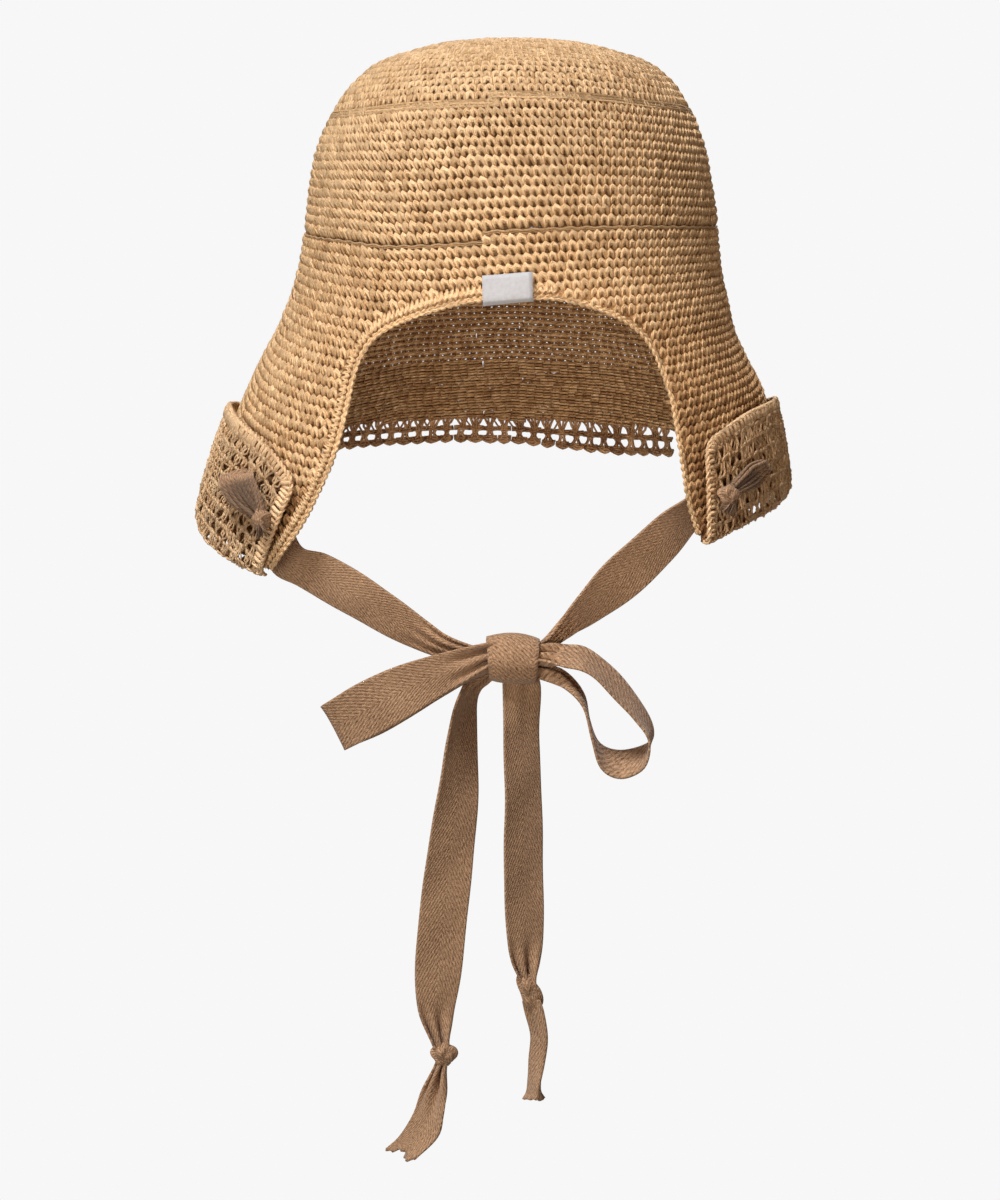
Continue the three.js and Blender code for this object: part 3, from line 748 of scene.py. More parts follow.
# An openwork cell: strands that run together downwards, with an open corner on each side,
# a thin band above and sometimes one loose strand across the opening
openLook = {"pitch": 6.2, "row": 5.8, "loose": 0.06}
# A cuff's tone: the right cuff's is set lower than the left's, which is painted shade on the side turned from
# the light
cellLook = {
    "left": {"strands": 4, "radius": 0.45, "reach": 2.0, "foot": 0.6, "wave": 0.5, "height": 4.9,
             "sway": 0.7, "loose": 80, "slant": (0.6, 0.7), "border": 1.0, "tone": 1.0},
    "right": {"strands": 3, "radius": 0.6, "reach": 2.2, "foot": 1.7, "wave": 0.8, "height": 5.2,
              "sway": 0.5, "loose": 26, "slant": (-0.1, 0.3), "border": 0.72, "tone": 0.79},
    "hem": {"strands": 4, "radius": 0.6, "reach": 2.5, "foot": 0.8, "wave": 0.25, "height": 4.4,
            "sway": 0.4},
}


def openCell(look, crossing):
    parts = []
    radius = look["radius"]
    for k, share in enumerate(np.linspace(-1, 1, look["strands"])):
        wave = look["wave"] * chance.normal(0, 1, 2)
        lift = 0.35 * (-1) ** k
        parts.append(strand([
            (share * look["reach"] * 0.95, 1.0, -0.3),
            (share * look["reach"] + wave[0] * 0.5, -0.3, lift),
            (share * (look["reach"] + look["foot"]) / 2 + wave[0], -look["height"] * 0.5, 0.35 - lift),
            (share * look["foot"] + wave[1] * 0.6, -look["height"] * 0.85, lift),
            (share * look["foot"] * 1.4, -look["height"] - 0.8, -0.4),
        ], radius * chance.uniform(0.85, 1.15)))
    if crossing:
        parts.append(strand([
            (-0.8, 0.3, -0.6), (-2.0, -look["height"] * 0.45, -0.2), (-3.6, -look["height"] - 0.2, -0.5),
        ], radius * 0.75))
    for y, height in ((0.3, -0.4), (1.0, 0.15)):
        sway = chance.normal(0, look["sway"], 4)
        parts.append(strand([
            (-3.1, y + sway[0], height), (-1, y + sway[1], height + 0.4),
            (1, y + sway[2], height), (3.1, y + sway[3], height - 0.3),
        ], radius * 1.05))
    for x in (-1.6, 1.5):
        x += chance.normal(0, 0.3)
        bow = ((-0.7, -0.5, -0.4), (-0.5, 0.7, 0.4), (0, 1.35, 0.5), (0.5, 0.7, 0.4), (0.7, -0.5, -0.4))
        parts.append(strand([(x + u, y, height) for u, y, height in bow], 0.55))
    return joined(parts)


def layCells(work, place, shape, columns, rowsAt, widths, heights, tone):
    count, loose = len(columns), openLook["loose"]
    flip = np.where(chance.random(count) < 0.5, -1, 1)
    u = shape["co"][None, :, 0] * (widths * flip * chance.normal(1, loose, count))[:, None]
    w = shape["co"][None, :, 1] * (heights * chance.normal(1, loose, count))[:, None]
    skew = chance.normal(0, loose * 1.6, (count, 1))
    u = u + w * skew
    h = shape["co"][None, :, 2] + chance.normal(0, 0.12, (count, 1))
    places = place(columns[:, None], rowsAt[:, None], u, w, h)
    # painted shade: a cell's strands are darker the deeper they lie, on top of random tone
    depth = np.clip((shape["co"][:, 2] + 1.0) / 1.8, 0, 1)
    tones = tone * (0.55 + 0.45 * depth[None]) + chance.normal(0, 0.05, (count, 1))
    work.add(shape, places, np.clip(tones, 0, 1), chance.random(count))


cuffRope = {
    "strands": 2, "pitch": 5.6, "height": 0.5, "width": 0.6, "radius": 0.6, "sample": 0.9, "tone": 0.95,
}


def buildCuff(side):
    patch = cuffPatch(side)
    work = Work()
    rowCount, columnCount = patch["points"].shape[:2]
    fold = onPatch(patch, np.arange(columnCount), np.full(columnCount, rowCount - 1))
    along = lengthAlong(fold)
    heights = np.array([patchLengths(patch, c) for c in range(columnCount)])
    total = heights[:, -1]
    middle = columnCount // 2

    def place(columnMm, downMm, u, w, h):
        column = np.interp(columnMm + u, along, np.arange(columnCount))
        i = np.clip(np.floor(column).astype(int), 0, columnCount - 2)
        part = column - i
        length = total[i] * (1 - part) + total[i + 1] * part
        share = np.clip((downMm - w) / length, 0, 1)
        row = np.interp(share, heights[middle] / total[middle], np.arange(rowCount))
        return onPatch(patch, column, row, h)

    look = cellLook[side]
    shapes = [openCell(look, crossing) for crossing in (False, True, False, True)]
    columns, downs = [], []
    rows = int(total.max() / openLook["row"]) + 1
    for k in range(rows):
        start = openLook["pitch"] * (0.5 if k % 2 else 0.0) + 2.0
        for x in np.arange(start, along[-1] - 1, openLook["pitch"]):
            fromTop = 5.2 + k * openLook["row"]
            if fromTop < np.interp(x, along, total) - 2:
                columns.append(x)
                downs.append(fromTop)
    columns = np.array(columns) + chance.normal(0, 0.3, len(columns))
    downs = np.array(downs) + chance.normal(0, 0.25, len(downs))
    picks = chance.integers(0, len(shapes), len(columns))
    for k, shape in enumerate(shapes):
        some = picks == k
        layCells(work, place, shape, columns[some], downs[some], 1, 1, 0.88 * look["tone"])

    for _ in range(look["loose"]):  # stray threads over the net
        x = chance.uniform(4, along[-1] - 4)
        down = chance.uniform(12, max(13.0, np.interp(x, along, total) - 3))
        slant = chance.normal(*look["slant"])
        half = chance.uniform(2.2, 4.2)
        t = np.linspace(-1, 1, 5)
        aside = half * t * math.sin(slant) + chance.normal(0, 0.5, 5) * math.cos(slant)
        path = place(x, down, aside, half * t * math.cos(slant), 0.6 - 0.9 * t ** 2)
        work.addStrand(strand(path, look["radius"] * 0.9), tone=chance.uniform(0.5, 1), seed=chance.random())

    # border of short bars across the free edge, with a twisted strand at the very edge
    front = 0 if side == "right" else columnCount - 1
    edgeOrder = np.arange(columnCount) if side == "right" else np.arange(columnCount)[::-1]
    rise = np.linspace(rowCount - 3, 2.5, 50)
    column = np.r_[np.full(len(rise), float(front)), edgeOrder[1:].astype(float)]
    row = np.r_[rise, np.full(columnCount - 1, 0.0)]
    edge = onPatch(patch, column, row)
    for _ in range(6):
        edge[1:-1] = (edge[:-2] + edge[2:] + 2 * edge[1:-1]) / 4
    normal = unit(onPatch(patch, column, row, np.ones(len(row))) - onPatch(patch, column, row))
    length = lengthAlong(edge)
    steps = np.interp(np.arange(200), [16, 30], [2.3, 3.1])
    at = np.cumsum(steps)
    at = at[at < length[-1] - 1]
    broad = steps[:len(at)] / 2.3
    centre, facing = pointsAt(at, length, edge), unit(pointsAt(at, length, normal))
    run = unit(np.gradient(centre, axis=0))
    inward = np.cross(facing, run) * (1 if side == "left" else -1)
    bar = strand(
        [(0, -0.5, -0.9), (0.1, 0.0, 0.3), (0.3, 2.2, 0.6), (0.55, 4.4, 0.3), (0.6, 5.2, -0.9)],
        [0.7, 0.9, 0.95, 0.9, 0.6],
    )
    co = bar["co"]
    jitter = chance.normal(0, 0.18, (len(at), 1, 3))
    places = (
        centre[:, None]
        + run[:, None] * (co[None, :, 0] * broad[:, None])[..., None]
        + inward[:, None] * co[None, :, 1, None] * look["border"]
        + facing[:, None] * co[None, :, 2, None]
        + jitter
    )
    # painted shade: the border bars are darker where they dip down, with random tone
    tone = np.clip((co[:, 2] + 1.6) / 2.4, 0.2, 1)[None] * look["tone"] + chance.normal(0, 0.05, (len(at), 1))
    work.add(bar, places, np.clip(tone, 0, 1), chance.random(len(at)))
    ropeAlong(work, edge + normal * 0.2, normal, cuffRope)
    return work


# the hem's yarn is set dark: partly a browner yarn, and partly painted shade, as the hem is seen inside the
# back
hemToneAndShade = 0.4
hemGrid = (7, 49)


def buildHem():
    rowCount, columnCount = hemGrid
    table = []
    for side, sign in sideSign.items():
        table += [((sign * a) % 360, z, drop) for a, z, drop in smoothRows(hemEdge[side], 8)]
    table = np.array(sorted(set(map(tuple, np.round(table, 5)))))
    angles = np.linspace(table[0, 0], table[-1, 0], columnCount)
    top = np.interp(angles, table[:, 0], table[:, 1])
    deep = np.interp(angles, table[:, 0], table[:, 2])
    share = np.linspace(0, 1, rowCount)[:, None]
    points = onShell(
        np.broadcast_to(angles, hemGrid),
        top[None] - deep[None] * share,
        np.full(hemGrid, -wallThickness / 2),
    )
    patch = makePatch(points)
    along = lengthAlong(points[rowCount // 2])
    work = Work()

    def place(columnMm, downMm, u, w, h):
        column = np.interp(columnMm + u, along, np.arange(columnCount))
        depth = np.interp(columnMm + u, along, deep)
        return onPatch(patch, column, (downMm - w) / depth * (rowCount - 1), h)

    count = int(along[-1] / openLook["pitch"])
    x = (np.arange(count) + 0.5) * along[-1] / count
    depth = np.interp(x, along, deep)
    scale = depth / 12.4
    shapes = [openCell(cellLook["hem"], crossing) for crossing in (False, True, True)]
    picks = chance.integers(0, len(shapes), count)
    for k, shape in enumerate(shapes):
        some = picks == k
        layCells(work, place, shape, x[some], 0.6 * scale[some], 1, scale[some], hemToneAndShade)
    for kind in range(3):
        some = picks == kind
        parts = []
        for way in (-1, 1):  # a post of two strands
            waist = way * 0.62 + chance.normal(0, 0.15)
            parts.append(strand([
                (way * 1.8, 1.4, -0.3), (way * 0.9, 0.3, 0.35), (waist, -1.1, 0.35),
                (way * 1.1, -2.5, 0.2), (way * 2.0, -3.4, -0.4),
            ], 0.8))
        for y, h in ((0.9, -0.4), (1.7, 0.4)):  # two bars over it
            ys = y + chance.normal(0, 0.25, 2)
            parts.append(strand([(-3.3, y, h), (-1, ys[0], h), (1, ys[1], h), (3.3, y, h)], 0.72))
        layCells(work, place, joined(parts), x[some], 6.9 * scale[some], 1, scale[some], hemToneAndShade)
    picot = [(-2.9, 0.3, -0.3), (-1.6, -0.6, 0.3), (0, -1.15, 0.35), (1.6, -0.6, 0.3), (2.9, 0.3, -0.3)]
    bars = [strand([(-3.3, y, h), (0, y + 0.1, h), (3.3, y, h)], 0.7) for y, h in ((0.4, -0.3), (1.1, 0.3))]
    layCells(work, place, joined([strand(picot, 0.9)] + bars), x, depth - 1.4, 1, 1, hemToneAndShade)
    return work


# Woven tape. A row is the tape's middle, then the way and distance from one long edge to the other.
# Where it is narrower than the cloth, the cloth is gathered in folds.
tapeLook = {
    "width": 20, "thickness": 0.9, "folds": 2, "acrossSteps": 24, "alongSteps": 6,
    "left_tie_tape": 3, "right_tie_tape": 5, "right_tail_end": 1,  # folds of these three
    # the third pleat number is painted shade, darkest in the pleats' valleys
    "pleats": {"left_tie_tape": (8, 0.6, 0.85), "right_tie_tape": (6, 0.4, 0.75)},  # count, height, shade
    "pleatsEnd": 21, "pleatSteps": 40, "phase": {"right_tail_end": -math.pi / 2},
    "hatch": {"right_loop_tape": 0.35},  # seen nearly edge on
    "ragged": {"left_tail_end": 2.6, "right_tail_end": 0.8},  # how uneven the cut end is
}


def shellRow(angle, z, offset):
    return tuple(onShell(np.array(float(angle)), np.array(float(z)), offset))


tapeRows = {
    "left_tie": [
        (*shellRow(-48.3, -191.8, 8), -2, 2, -2), (*shellRow(-50.5, -189, 7.8), -6, 4, -5),
        (*shellRow(-54, -184.5, 8.4), -12, 8, -7), (*shellRow(-57, -180, 8.6), -14, 9, -5),
        (*shellRow(-58.8, -176.8, 7.4), -14, 9, -2.5), (*shellRow(-59.7, -175.8, 4.5), -9, 6.5, -1.5),
        (*shellRow(-60, -175, -1), -4, 3.5, -2), (*shellRow(-59.5, -176.5, -5), -5, 4.5, -4),
        (*shellRow(-56, -186, -6), -9, 6, -8), (*shellRow(-52, -198, -7), -12, 7, -9),
        (-91.5, -63, -209.5, -11.5, 6, -11), (-82, -68, -213, -11, 8, -14),
        (-72, -73, -218, -7.5, 9, -16.5), (-61, -78, -224, -8.5, 10, -15.5),
        (-50, -82, -230.5, -8, 9.5, -14), (-39, -85, -237, -7, 8, -11), (-27, -88, -242.5, -4.5, 4, -8),
        (-14, -91, -245.5, -1.5, 1, -5.5), (-3, -93, -247, 0, 1, -5),
    ],
    "right_tie": [
        (*shellRow(46, -181.8, 8), 1, 2, -2.5), (*shellRow(51.5, -178.5, 6.8), 3, 4, -5.5),
        (*shellRow(56.5, -175, 6.8), 4.5, 6.5, -8.5), (*shellRow(61, -172.5, 6.6), 3, 4.5, -5),
        (*shellRow(62, -172, 4.5), 2.5, 4, -2.5), (*shellRow(62, -172, -1), 2.5, 4, -2.5),
        (*shellRow(61, -172.5, -5), 3, 4.5, -5), (*shellRow(56, -176.5, -7), 4, 6, -9),
        (80, -66, -183.5, 3, 5, -12), (71, -73, -191, 3, 5.5, -14.5), (62, -80, -198.5, 6.5, 7, -17),
        (51, -84.5, -208.5, 9, 7.5, -16.5), (40, -87, -218, 9.5, 9, -15), (29, -88, -228, 8.5, 10, -9.5),
        (19, -89, -237, 5, 6, -4.5), (12.5, -91, -242, 3, 3, -3.5), (4, -94, -246, 3, 2, -3),
    ],
    "bow_loop_left": [
        (-3, -98, -244, 0, 0, -9), (-10, -101, -244, 0, 0, -9.6), (-20, -103.5, -248, 1, 0, -13.6),
        (-32, -105, -253, 3, 0, -17), (-45, -106, -259, 6, 0, -20), (-58, -106, -265.5, 8.5, 0, -20),
        (-67.5, -104.5, -271, 10, 0, -18), (-71.3, -101, -273.5, 10, 0, -17.5),
        (-67.5, -97.5, -272, 10, 0, -17.5), (-56, -96, -266.5, 8.5, 0, -19.5),
        (-42, -95, -260, 5, 0, -18.5), (-29, -95, -254, 3, 0, -15), (-17, -95.5, -249.5, 1, 0, -11),
        (-3, -96.5, -246, 0, 0, -7),
    ],
    "bow_loop_right": [
        (3, -99, -245, 0, 4, 3), (11.5, -100, -245, 0, 6, 5), (20, -101, -245, 1, 13, 7),
        (28, -102, -246, 2, 17.5, 7.5), (36, -102, -251.5, 5, 18, 4), (44, -102, -260, 6, 18, 2.5),
        (51, -102, -269, 5.5, 18, 1), (55, -102, -277, 2, 18.5, 2), (53, -102, -284.5, 1.5, 18, 7.5),
        (43.5, -102, -288, 0, 18, 8.5), (35.5, -102, -284.5, -0.5, 18, 7.5),
        (31.5, -102, -274, -0.5, 16.5, 6), (28.5, -101, -262, 0, 15.5, 3.5),
        (21.5, -98.5, -254.5, 1, 12, 3), (12, -97, -251, 0, 6, 3.5), (3, -96, -249, 0, 4, 3),
    ],
    "bow_tail_left": [
        (-3, -91, -249, 2, 4, -2), (-10.5, -88, -252.5, 4, 6, -3), (-15.5, -87, -257.5, 7, 10, -2),
        (-19, -89, -265, 9, 15, 1), (-20.5, -91.5, -276, 11, 16, 3), (-22, -93.5, -300, 16, 11, 0),
        (-25.3, -94, -328, 18.8, 6, 0), (-28, -94, -352, 19.4, 3, 0), (-30, -94.5, -374, 18.5, 3, -2),
        (-31, -95, -390, 14, 3, -3), (-29.5, -95, -401, 7, 2, 0), (-28, -95, -407, 4, 2, 0),
    ],
    "bow_tail_right": [
        (2, -96, -249, 12, 1, 0), (3.7, -95.5, -258, 15, 3, 0), (3.4, -95.5, -278, 14, 8, -1),
        (4.2, -95.5, -303, 14.5, 10, 0), (4.3, -95.5, -332, 15.5, 9, 0), (5, -96, -358, 14.5, 7, -1),
        (5.2, -96, -369, 11, 4, -1), (6, -95.5, -376, 6, 2, 0), (7, -95, -381, 4, 2, 0),
    ],
    "tail_end_left": [
        (-27.8, -95, -408, 4, 0, 0), (-29.3, -95, -413, 5, 0, 0), (-31.5, -96, -422, 10, -5, 0),
        (-34, -96.5, -432, 12.5, -9, 2), (-38, -96, -441, 16, -10, 2), (-46, -95, -448.8, 11, -8, -4),
    ],
    "tail_end_right": [
        (8, -95, -385, 3, 2, 0), (10, -95, -391, 5, 3, 0), (11.8, -94.5, -400, 5.6, 2.5, 1),
        (10.8, -94, -410, 5.2, 2, 0.6), (9.6, -94.5, -419, 5.2, 1, 0), (9.3, -94.8, -423, 6, 1, 0),
        (9.2, -95, -426, 9.4, 1.4, -0.6),
    ],
}


def tapeSurface(rows, width, folds, steps):
    line = smoothRows(rows, steps)
    middle, across = line[:, :3], line[:, 3:]
    along = unit(np.gradient(middle, axis=0))
    face = unit(np.cross(along, across))
    shown = np.linalg.norm(across, axis=1)
    slack = np.sqrt(np.maximum(width ** 2 - shown ** 2, 0)) / (4 * folds)
    slack = slack * np.clip((width - 3.5 - shown) / 6, 0, 1)
    length = lengthAlong(middle)
    return middle, across, face, slack, length


def bendTape(name, rows, look, material):
    folds = look.get(name, look["folds"])
    middle, across, face, slack, length = tapeSurface(rows, look["width"], folds, look["alongSteps"])
    pleats, pleatHeight, paintedPleatShade = look.get("pleats", {}).get(name, (0, 0, 0))
    columns, lines = look["pleatSteps"] if pleats else look["acrossSteps"], len(middle) - 1
    bm = bmesh.new()
    bmesh.ops.create_grid(bm, x_segments=columns, y_segments=lines, size=1, calc_uvs=False)
    uv = bm.loops.layers.uv.new("UVMap")
    shade = bm.verts.layers.float.new("shade")
    phase = look.get("phase", {}).get(name, chance.random() * 2 * math.pi)
    hatch = look.get("hatch", {}).get(name, 1.0)
    ragged = look.get("ragged", {}).get(name, 0.0)
    onward = unit(middle[-1] - middle[-2])
    spot = {}
    for v in bm.verts:
        share = (v.co.x + 1) / 2
        k = int(round((v.co.y + 1) / 2 * lines))
        spot[v] = (share, k)
        sway = 0.22 * math.sin(length[k] / 5.0 + phase + share * 4.0)
        fold = slack[k] * math.sin(2 * math.pi * folds * share + phase)
        curl = 0.35 * (abs(share - 0.5) * 2) ** 3
        drawn = min(1.0, max(0.0, 1 - (length[k] - look.get("pleatsEnd", 0)) / 4))
        fold += drawn * pleatHeight * math.sin(2 * math.pi * pleats * share)
        # painted shade in the gathered pleats, darkest in their valleys and paler towards the tape's edges
        v[shade] = drawn * paintedPleatShade * (0.8 + 0.2 * math.sin(2 * math.pi * pleats * share))
        v[shade] *= 1 - 0.45 * (2 * share - 1) ** 2  # paler towards the tape's edges
        point = middle[k] + across[k] * (share - 0.5) + face[k] * (fold + sway + curl)
        uneven = 0.6 * math.sin(9 * share + 0.6) + 0.25 * math.sin(31 * share) - 0.5
        point += onward * ragged * uneven * max(0.0, 1 - (lines - k) / 6)
        v.co = Vector(point * mm)
    for f in bm.faces:
        for corner in f.loops:
            share, k = spot[corner.vert]
            corner[uv].uv = (share * look["width"] * hatch, length[k])
        f.smooth = True
    piece = newPiece(name, meshOf(name, bm), material)
    wall = piece.modifiers.new("thickness", "SOLIDIFY")
    wall.thickness = look["thickness"] * mm
    wall.offset = 0
    return piece, length[-1]


# Knots: a ball drawn out to three half sizes, with the tape's turns raised on it
def makeKnot(name, look, material):
    half = look["half"]
    bm = bmesh.new()
    bmesh.ops.create_uvsphere(bm, u_segments=40, v_segments=24, radius=1)
    uv = bm.loops.layers.uv.new("UVMap")
    for f in bm.faces:
        f.smooth = True
        for corner in f.loops:
            p = corner.vert.co
            corner[uv].uv = (p.x * half[0], math.atan2(p.z, p.y) * half[2])
    for v in bm.verts:
        p = v.co.copy()
        wrap = math.atan2(p.z, p.x)
        groove = math.cos(2 * wrap + 3.6 * p.y)
        p *= 1 - 0.26 * max(0.0, -groove) ** 0.7
        p *= 1 + 0.09 * math.sin(2.3 * v.co.x + 3.1 * v.co.z + 1) + 0.05 * math.sin(5 * v.co.z - 4 * v.co.x)
        v.co = Vector((p.x * half[0], p.y * half[1], p.z * half[2])) * mm
    spin = Matrix.Rotation(math.radians(look["tilt"]), 4, "Y")
    bmesh.ops.transform(bm, matrix=Matrix.Translation(Vector(look["at"]) * mm) @ spin, verts=bm.verts)
    return newPiece(name, meshOf(name, bm), material)


bowKnotLook = {"at": (0.5, -96, -246.3), "radius": 9.6, "length": 20}


# The bow's knot: a tube across the bow with sunk ends, waisted and pleated towards them
def makeBowKnot(name, look, material):
    radius, length = look["radius"], look["length"]
    bm = bmesh.new()
    turn = Matrix.Rotation(math.pi / 2, 4, "Y")
    bmesh.ops.create_cone(
        bm, cap_ends=True, segments=48, radius1=radius, radius2=radius, depth=length, matrix=turn
    )
    ends = [f for f in bm.faces if len(f.verts) > 4]
    sides = [e for e in bm.edges if not any(f in ends for f in e.link_faces)]
    bmesh.ops.subdivide_edges(bm, edges=sides, cuts=13, use_grid_fill=True)
    for inset, push in ((1.6, -0.2), (2.2, 1.2), (2.6, 1.6)):
        ends = [f for f in bm.faces if len(f.verts) > 4]
        bmesh.ops.inset_individual(bm, faces=ends, thickness=inset, depth=-push)
    uv = bm.loops.layers.uv.new("UVMap")
    for f in bm.faces:
        f.smooth = True
        rounds = [math.atan2(c.vert.co.z, c.vert.co.y) for c in f.loops]
        jump = max(rounds) - min(rounds) > math.pi
        for corner, around in zip(f.loops, rounds):
            around += 2 * math.pi if jump and around < 0 else 0
            corner[uv].uv = (corner.vert.co.x * 0.62 + 15, around * 13)
    for v in bm.verts:
        x, y, z = v.co
        around = math.atan2(z, y)
        share = 2 * x / length
        bulge = 1.03 - 0.16 * abs(share) ** 2.6
        pleat = 0.035 * math.cos(9 * around + 2) * abs(share) ** 2 + 0.02 * math.sin(3 * share + around)
        taper = 1 + 0.07 * z / radius - 0.03 * share
        v.co = Vector((x * taper, y * (bulge + pleat), z * (bulge + pleat) * 1.03 - 0.5 * share))
    bmesh.ops.recalc_face_normals(bm, faces=bm.faces)
    place = Matrix.Scale(mm, 4) @ Matrix.Translation(Vector(look["at"]))
    bmesh.ops.transform(bm, matrix=place, verts=bm.verts)
    return newPiece(name, meshOf(name, bm), material)


# Frayed thread ends that spread from a knot on a cuff
tuftLook = {
    "left_fray": {
        "node": "left_tie_knot", "at": (-48.0, -192.3, 8.2), "aim": (-0.1, -0.35, -1), "spread": 0.75,
        "threads": 22,
    },
    "right_fray": {
        "node": "right_tie_knot", "at": (46.5, -183.0, 8.2), "aim": (-0.15, -0.35, -1), "spread": 0.6,
        "threads": 22,
    },
}


def buildTuft(look):
    work = Work()
    start = np.array(shellRow(*look["at"]))
    angle, z, offset = look["at"]
    outward = unit(np.array(shellRow(angle, z, offset + 1)) - start)
    aim = unit(np.array(look["aim"], float))
    beside = unit(np.cross(aim, outward))
    for _ in range(look["threads"]):
        way = chance.uniform(-1, 1)
        far = chance.uniform(5.0, 8.5)
        out = chance.uniform(-1.4, 1.6)
        ray = unit(aim + beside * way * look["spread"])
        path = [
            start - aim * 1.5 + beside * way * 2.2 + outward * out * 0.6,
            start + ray * far * 0.35 + outward * (out + 0.9),
            start + ray * far * 0.7 + outward * (out * 0.9 + chance.normal(0, 0.4)),
            start + ray * far + outward * (out * 0.6 - 0.6) + beside * chance.normal(0, 0.5),
        ]
        thread = strand(path, [0.4, 0.38, 0.34, 0.2], sides=4)
        work.addStrand(thread, tone=chance.uniform(0.45, 1), seed=chance.random())
    return work


# Materials
def newGroup(name, inputs, outputs):
    group = bpy.data.node_groups.new(name, "ShaderNodeTree")
    for label, value in inputs.items():
        kind = "NodeSocketColor" if isinstance(value, tuple) else "NodeSocketFloat"
        socket = group.interface.new_socket(name=label, in_out="INPUT", socket_type=kind)
        socket.default_value = value
    for label in outputs:
        kind = "NodeSocketColor" if label == "Color" else "NodeSocketFloat"
        group.interface.new_socket(name=label, in_out="OUTPUT", socket_type=kind)
    return group, group.nodes.new("NodeGroupInput").outputs, group.nodes.new("NodeGroupOutput").inputs


def feed(tree, value, socket):
    if isinstance(value, (int, float, tuple)):
        socket.default_value = value
    else:
        tree.links.new(value, socket)


def mathNode(tree, operation, *values):
    node = tree.nodes.new("ShaderNodeMath")
    node.operation = operation
    for value, socket in zip(values, node.inputs):
        feed(tree, value, socket)
    return node.outputs[0]


def scaled(tree, value, factor, plus=0.0):
    return mathNode(tree, "MULTIPLY_ADD", value, factor, plus)


def wavesOf(tree, phase):
    return mathNode(tree, "SINE", scaled(tree, phase, 2 * math.pi))


def mixColors(tree, factor, first, second):
    node = tree.nodes.new("ShaderNodeMix")
    node.data_type = "RGBA"
    for slot, value in ((0, factor), (6, first), (7, second)):
        feed(tree, value, node.inputs[slot])
    return node.outputs[2]


def attributeNode(tree, name):
    node = tree.nodes.new("ShaderNodeAttribute")
    node.attribute_name = name
    return node


def partsOf(tree, vector):
    node = tree.nodes.new("ShaderNodeSeparateXYZ")
    tree.links.new(vector, node.inputs[0])
    return node.outputs


def pointOf(tree, *parts):
    node = tree.nodes.new("ShaderNodeCombineXYZ")
    for part, socket in zip(parts, node.inputs):
        tree.links.new(part, socket)
    return node.outputs[0]


def tapeUv(tree):
    node = tree.nodes.new("ShaderNodeUVMap")
    node.uv_map = "UVMap"
    return node.outputs[0]


def noiseNode(tree, vector, scale, detail, roughness=0.5):
    node = tree.nodes.new("ShaderNodeTexNoise")
    for name, value in (("Vector", vector), ("Scale", scale), ("Detail", detail), ("Roughness", roughness)):
        feed(tree, value, node.inputs[name])
    return node.outputs["Fac"]


def yarnGroup():
    group, given, put = newGroup(
        "yarnFibres",
        {
            "Light": (0.8, 0.56, 0.32, 1),
            "Middle": (0.5, 0.29, 0.14, 1),
            "Deep": (0.1, 0.035, 0.012, 1),
            "Plies": 4.0,
            "Streaks": 0.5,
        },
        ("Color", "Height", "Roughness"),
    )
    # tone carries painted shade (by depth, behind the cuffs, on the flaps) and random tone; low tone mixes
    # towards Deep, high tone towards Light
    tone = attributeNode(group, "tone").outputs["Fac"]
    along, around, seed = partsOf(group, attributeNode(group, "lay").outputs["Vector"])
    place = group.nodes.new("ShaderNodeTexCoord").outputs["Object"]
    phase = scaled(group, around, given["Plies"], scaled(group, along, 0.16))
    phase = scaled(group, noiseNode(group, place, 420, 3), 1.1, phase)
    drawn = pointOf(group, scaled(group, along, 0.7), scaled(group, around, 9.0), scaled(group, seed, 90.0))
    fibres = noiseNode(group, drawn, 1.0, 3, 0.6)
    plies = scaled(group, wavesOf(group, phase), 0.5, 0.5)
    fine = noiseNode(group, place, 1900, 4, 0.7)
    patches = noiseNode(group, place, 38, 2)
    height = scaled(group, plies, 0.4, scaled(group, fine, 0.4))
    height = scaled(group, fibres, 0.9, height)
    streak = scaled(group, plies, 0.25, scaled(group, fine, 0.8, -1.35))
    streak = scaled(group, fibres, 1.6, streak)
    streak = scaled(group, streak, given["Streaks"])
    drift = scaled(group, patches, 0.35, -0.175)
    ownShade = scaled(group, seed, 0.26, -0.13)
    level = mathNode(group, "ADD", tone, streak)
    level = mathNode(group, "ADD", level, mathNode(group, "ADD", drift, ownShade))
    lowPart = scaled(group, level, 1.9)
    lowPart.node.use_clamp = True
    highPart = scaled(group, level, 1.9, -0.95)
    highPart.node.use_clamp = True
    shade = mixColors(group, lowPart, given["Deep"], given["Middle"])
    shade = mixColors(group, highPart, shade, given["Light"])
    group.links.new(shade, put["Color"])
    group.links.new(height, put["Height"])
    group.links.new(scaled(group, fine, 0.3, 0.5), put["Roughness"])
    return group


def newMaterial(name):
    material = bpy.data.materials.new(name)
    material.use_nodes = True
    tree = material.node_tree
    return material, tree, tree.nodes["Principled BSDF"]


def placeGroup(tree, group, **values):
    node = tree.nodes.new("ShaderNodeGroup")
    node.node_tree = group
    for name, value in values.items():
        node.inputs[name].default_value = (*value, 1) if isinstance(value, tuple) else value
    return node.outputs


def addBump(tree, shader, height, strength, distance):
    bump = tree.nodes.new("ShaderNodeBump")
    for name, value in (("Strength", strength), ("Distance", distance), ("Height", height)):
        feed(tree, value, bump.inputs[name])
    tree.links.new(bump.outputs["Normal"], shader.inputs["Normal"])


def yarnMaterial(name, group, light, middle, deep, streaks, specular):
    material, tree, shader = newMaterial(name)
    fibres = placeGroup(tree, group, Light=light, Middle=middle, Deep=deep, Streaks=streaks)
    addBump(tree, shader, fibres["Height"], 0.9, 0.0006)
    tree.links.new(fibres["Color"], shader.inputs["Base Color"])
    tree.links.new(fibres["Roughness"], shader.inputs["Roughness"])
    shader.inputs["Specular IOR Level"].default_value = specular
    return material


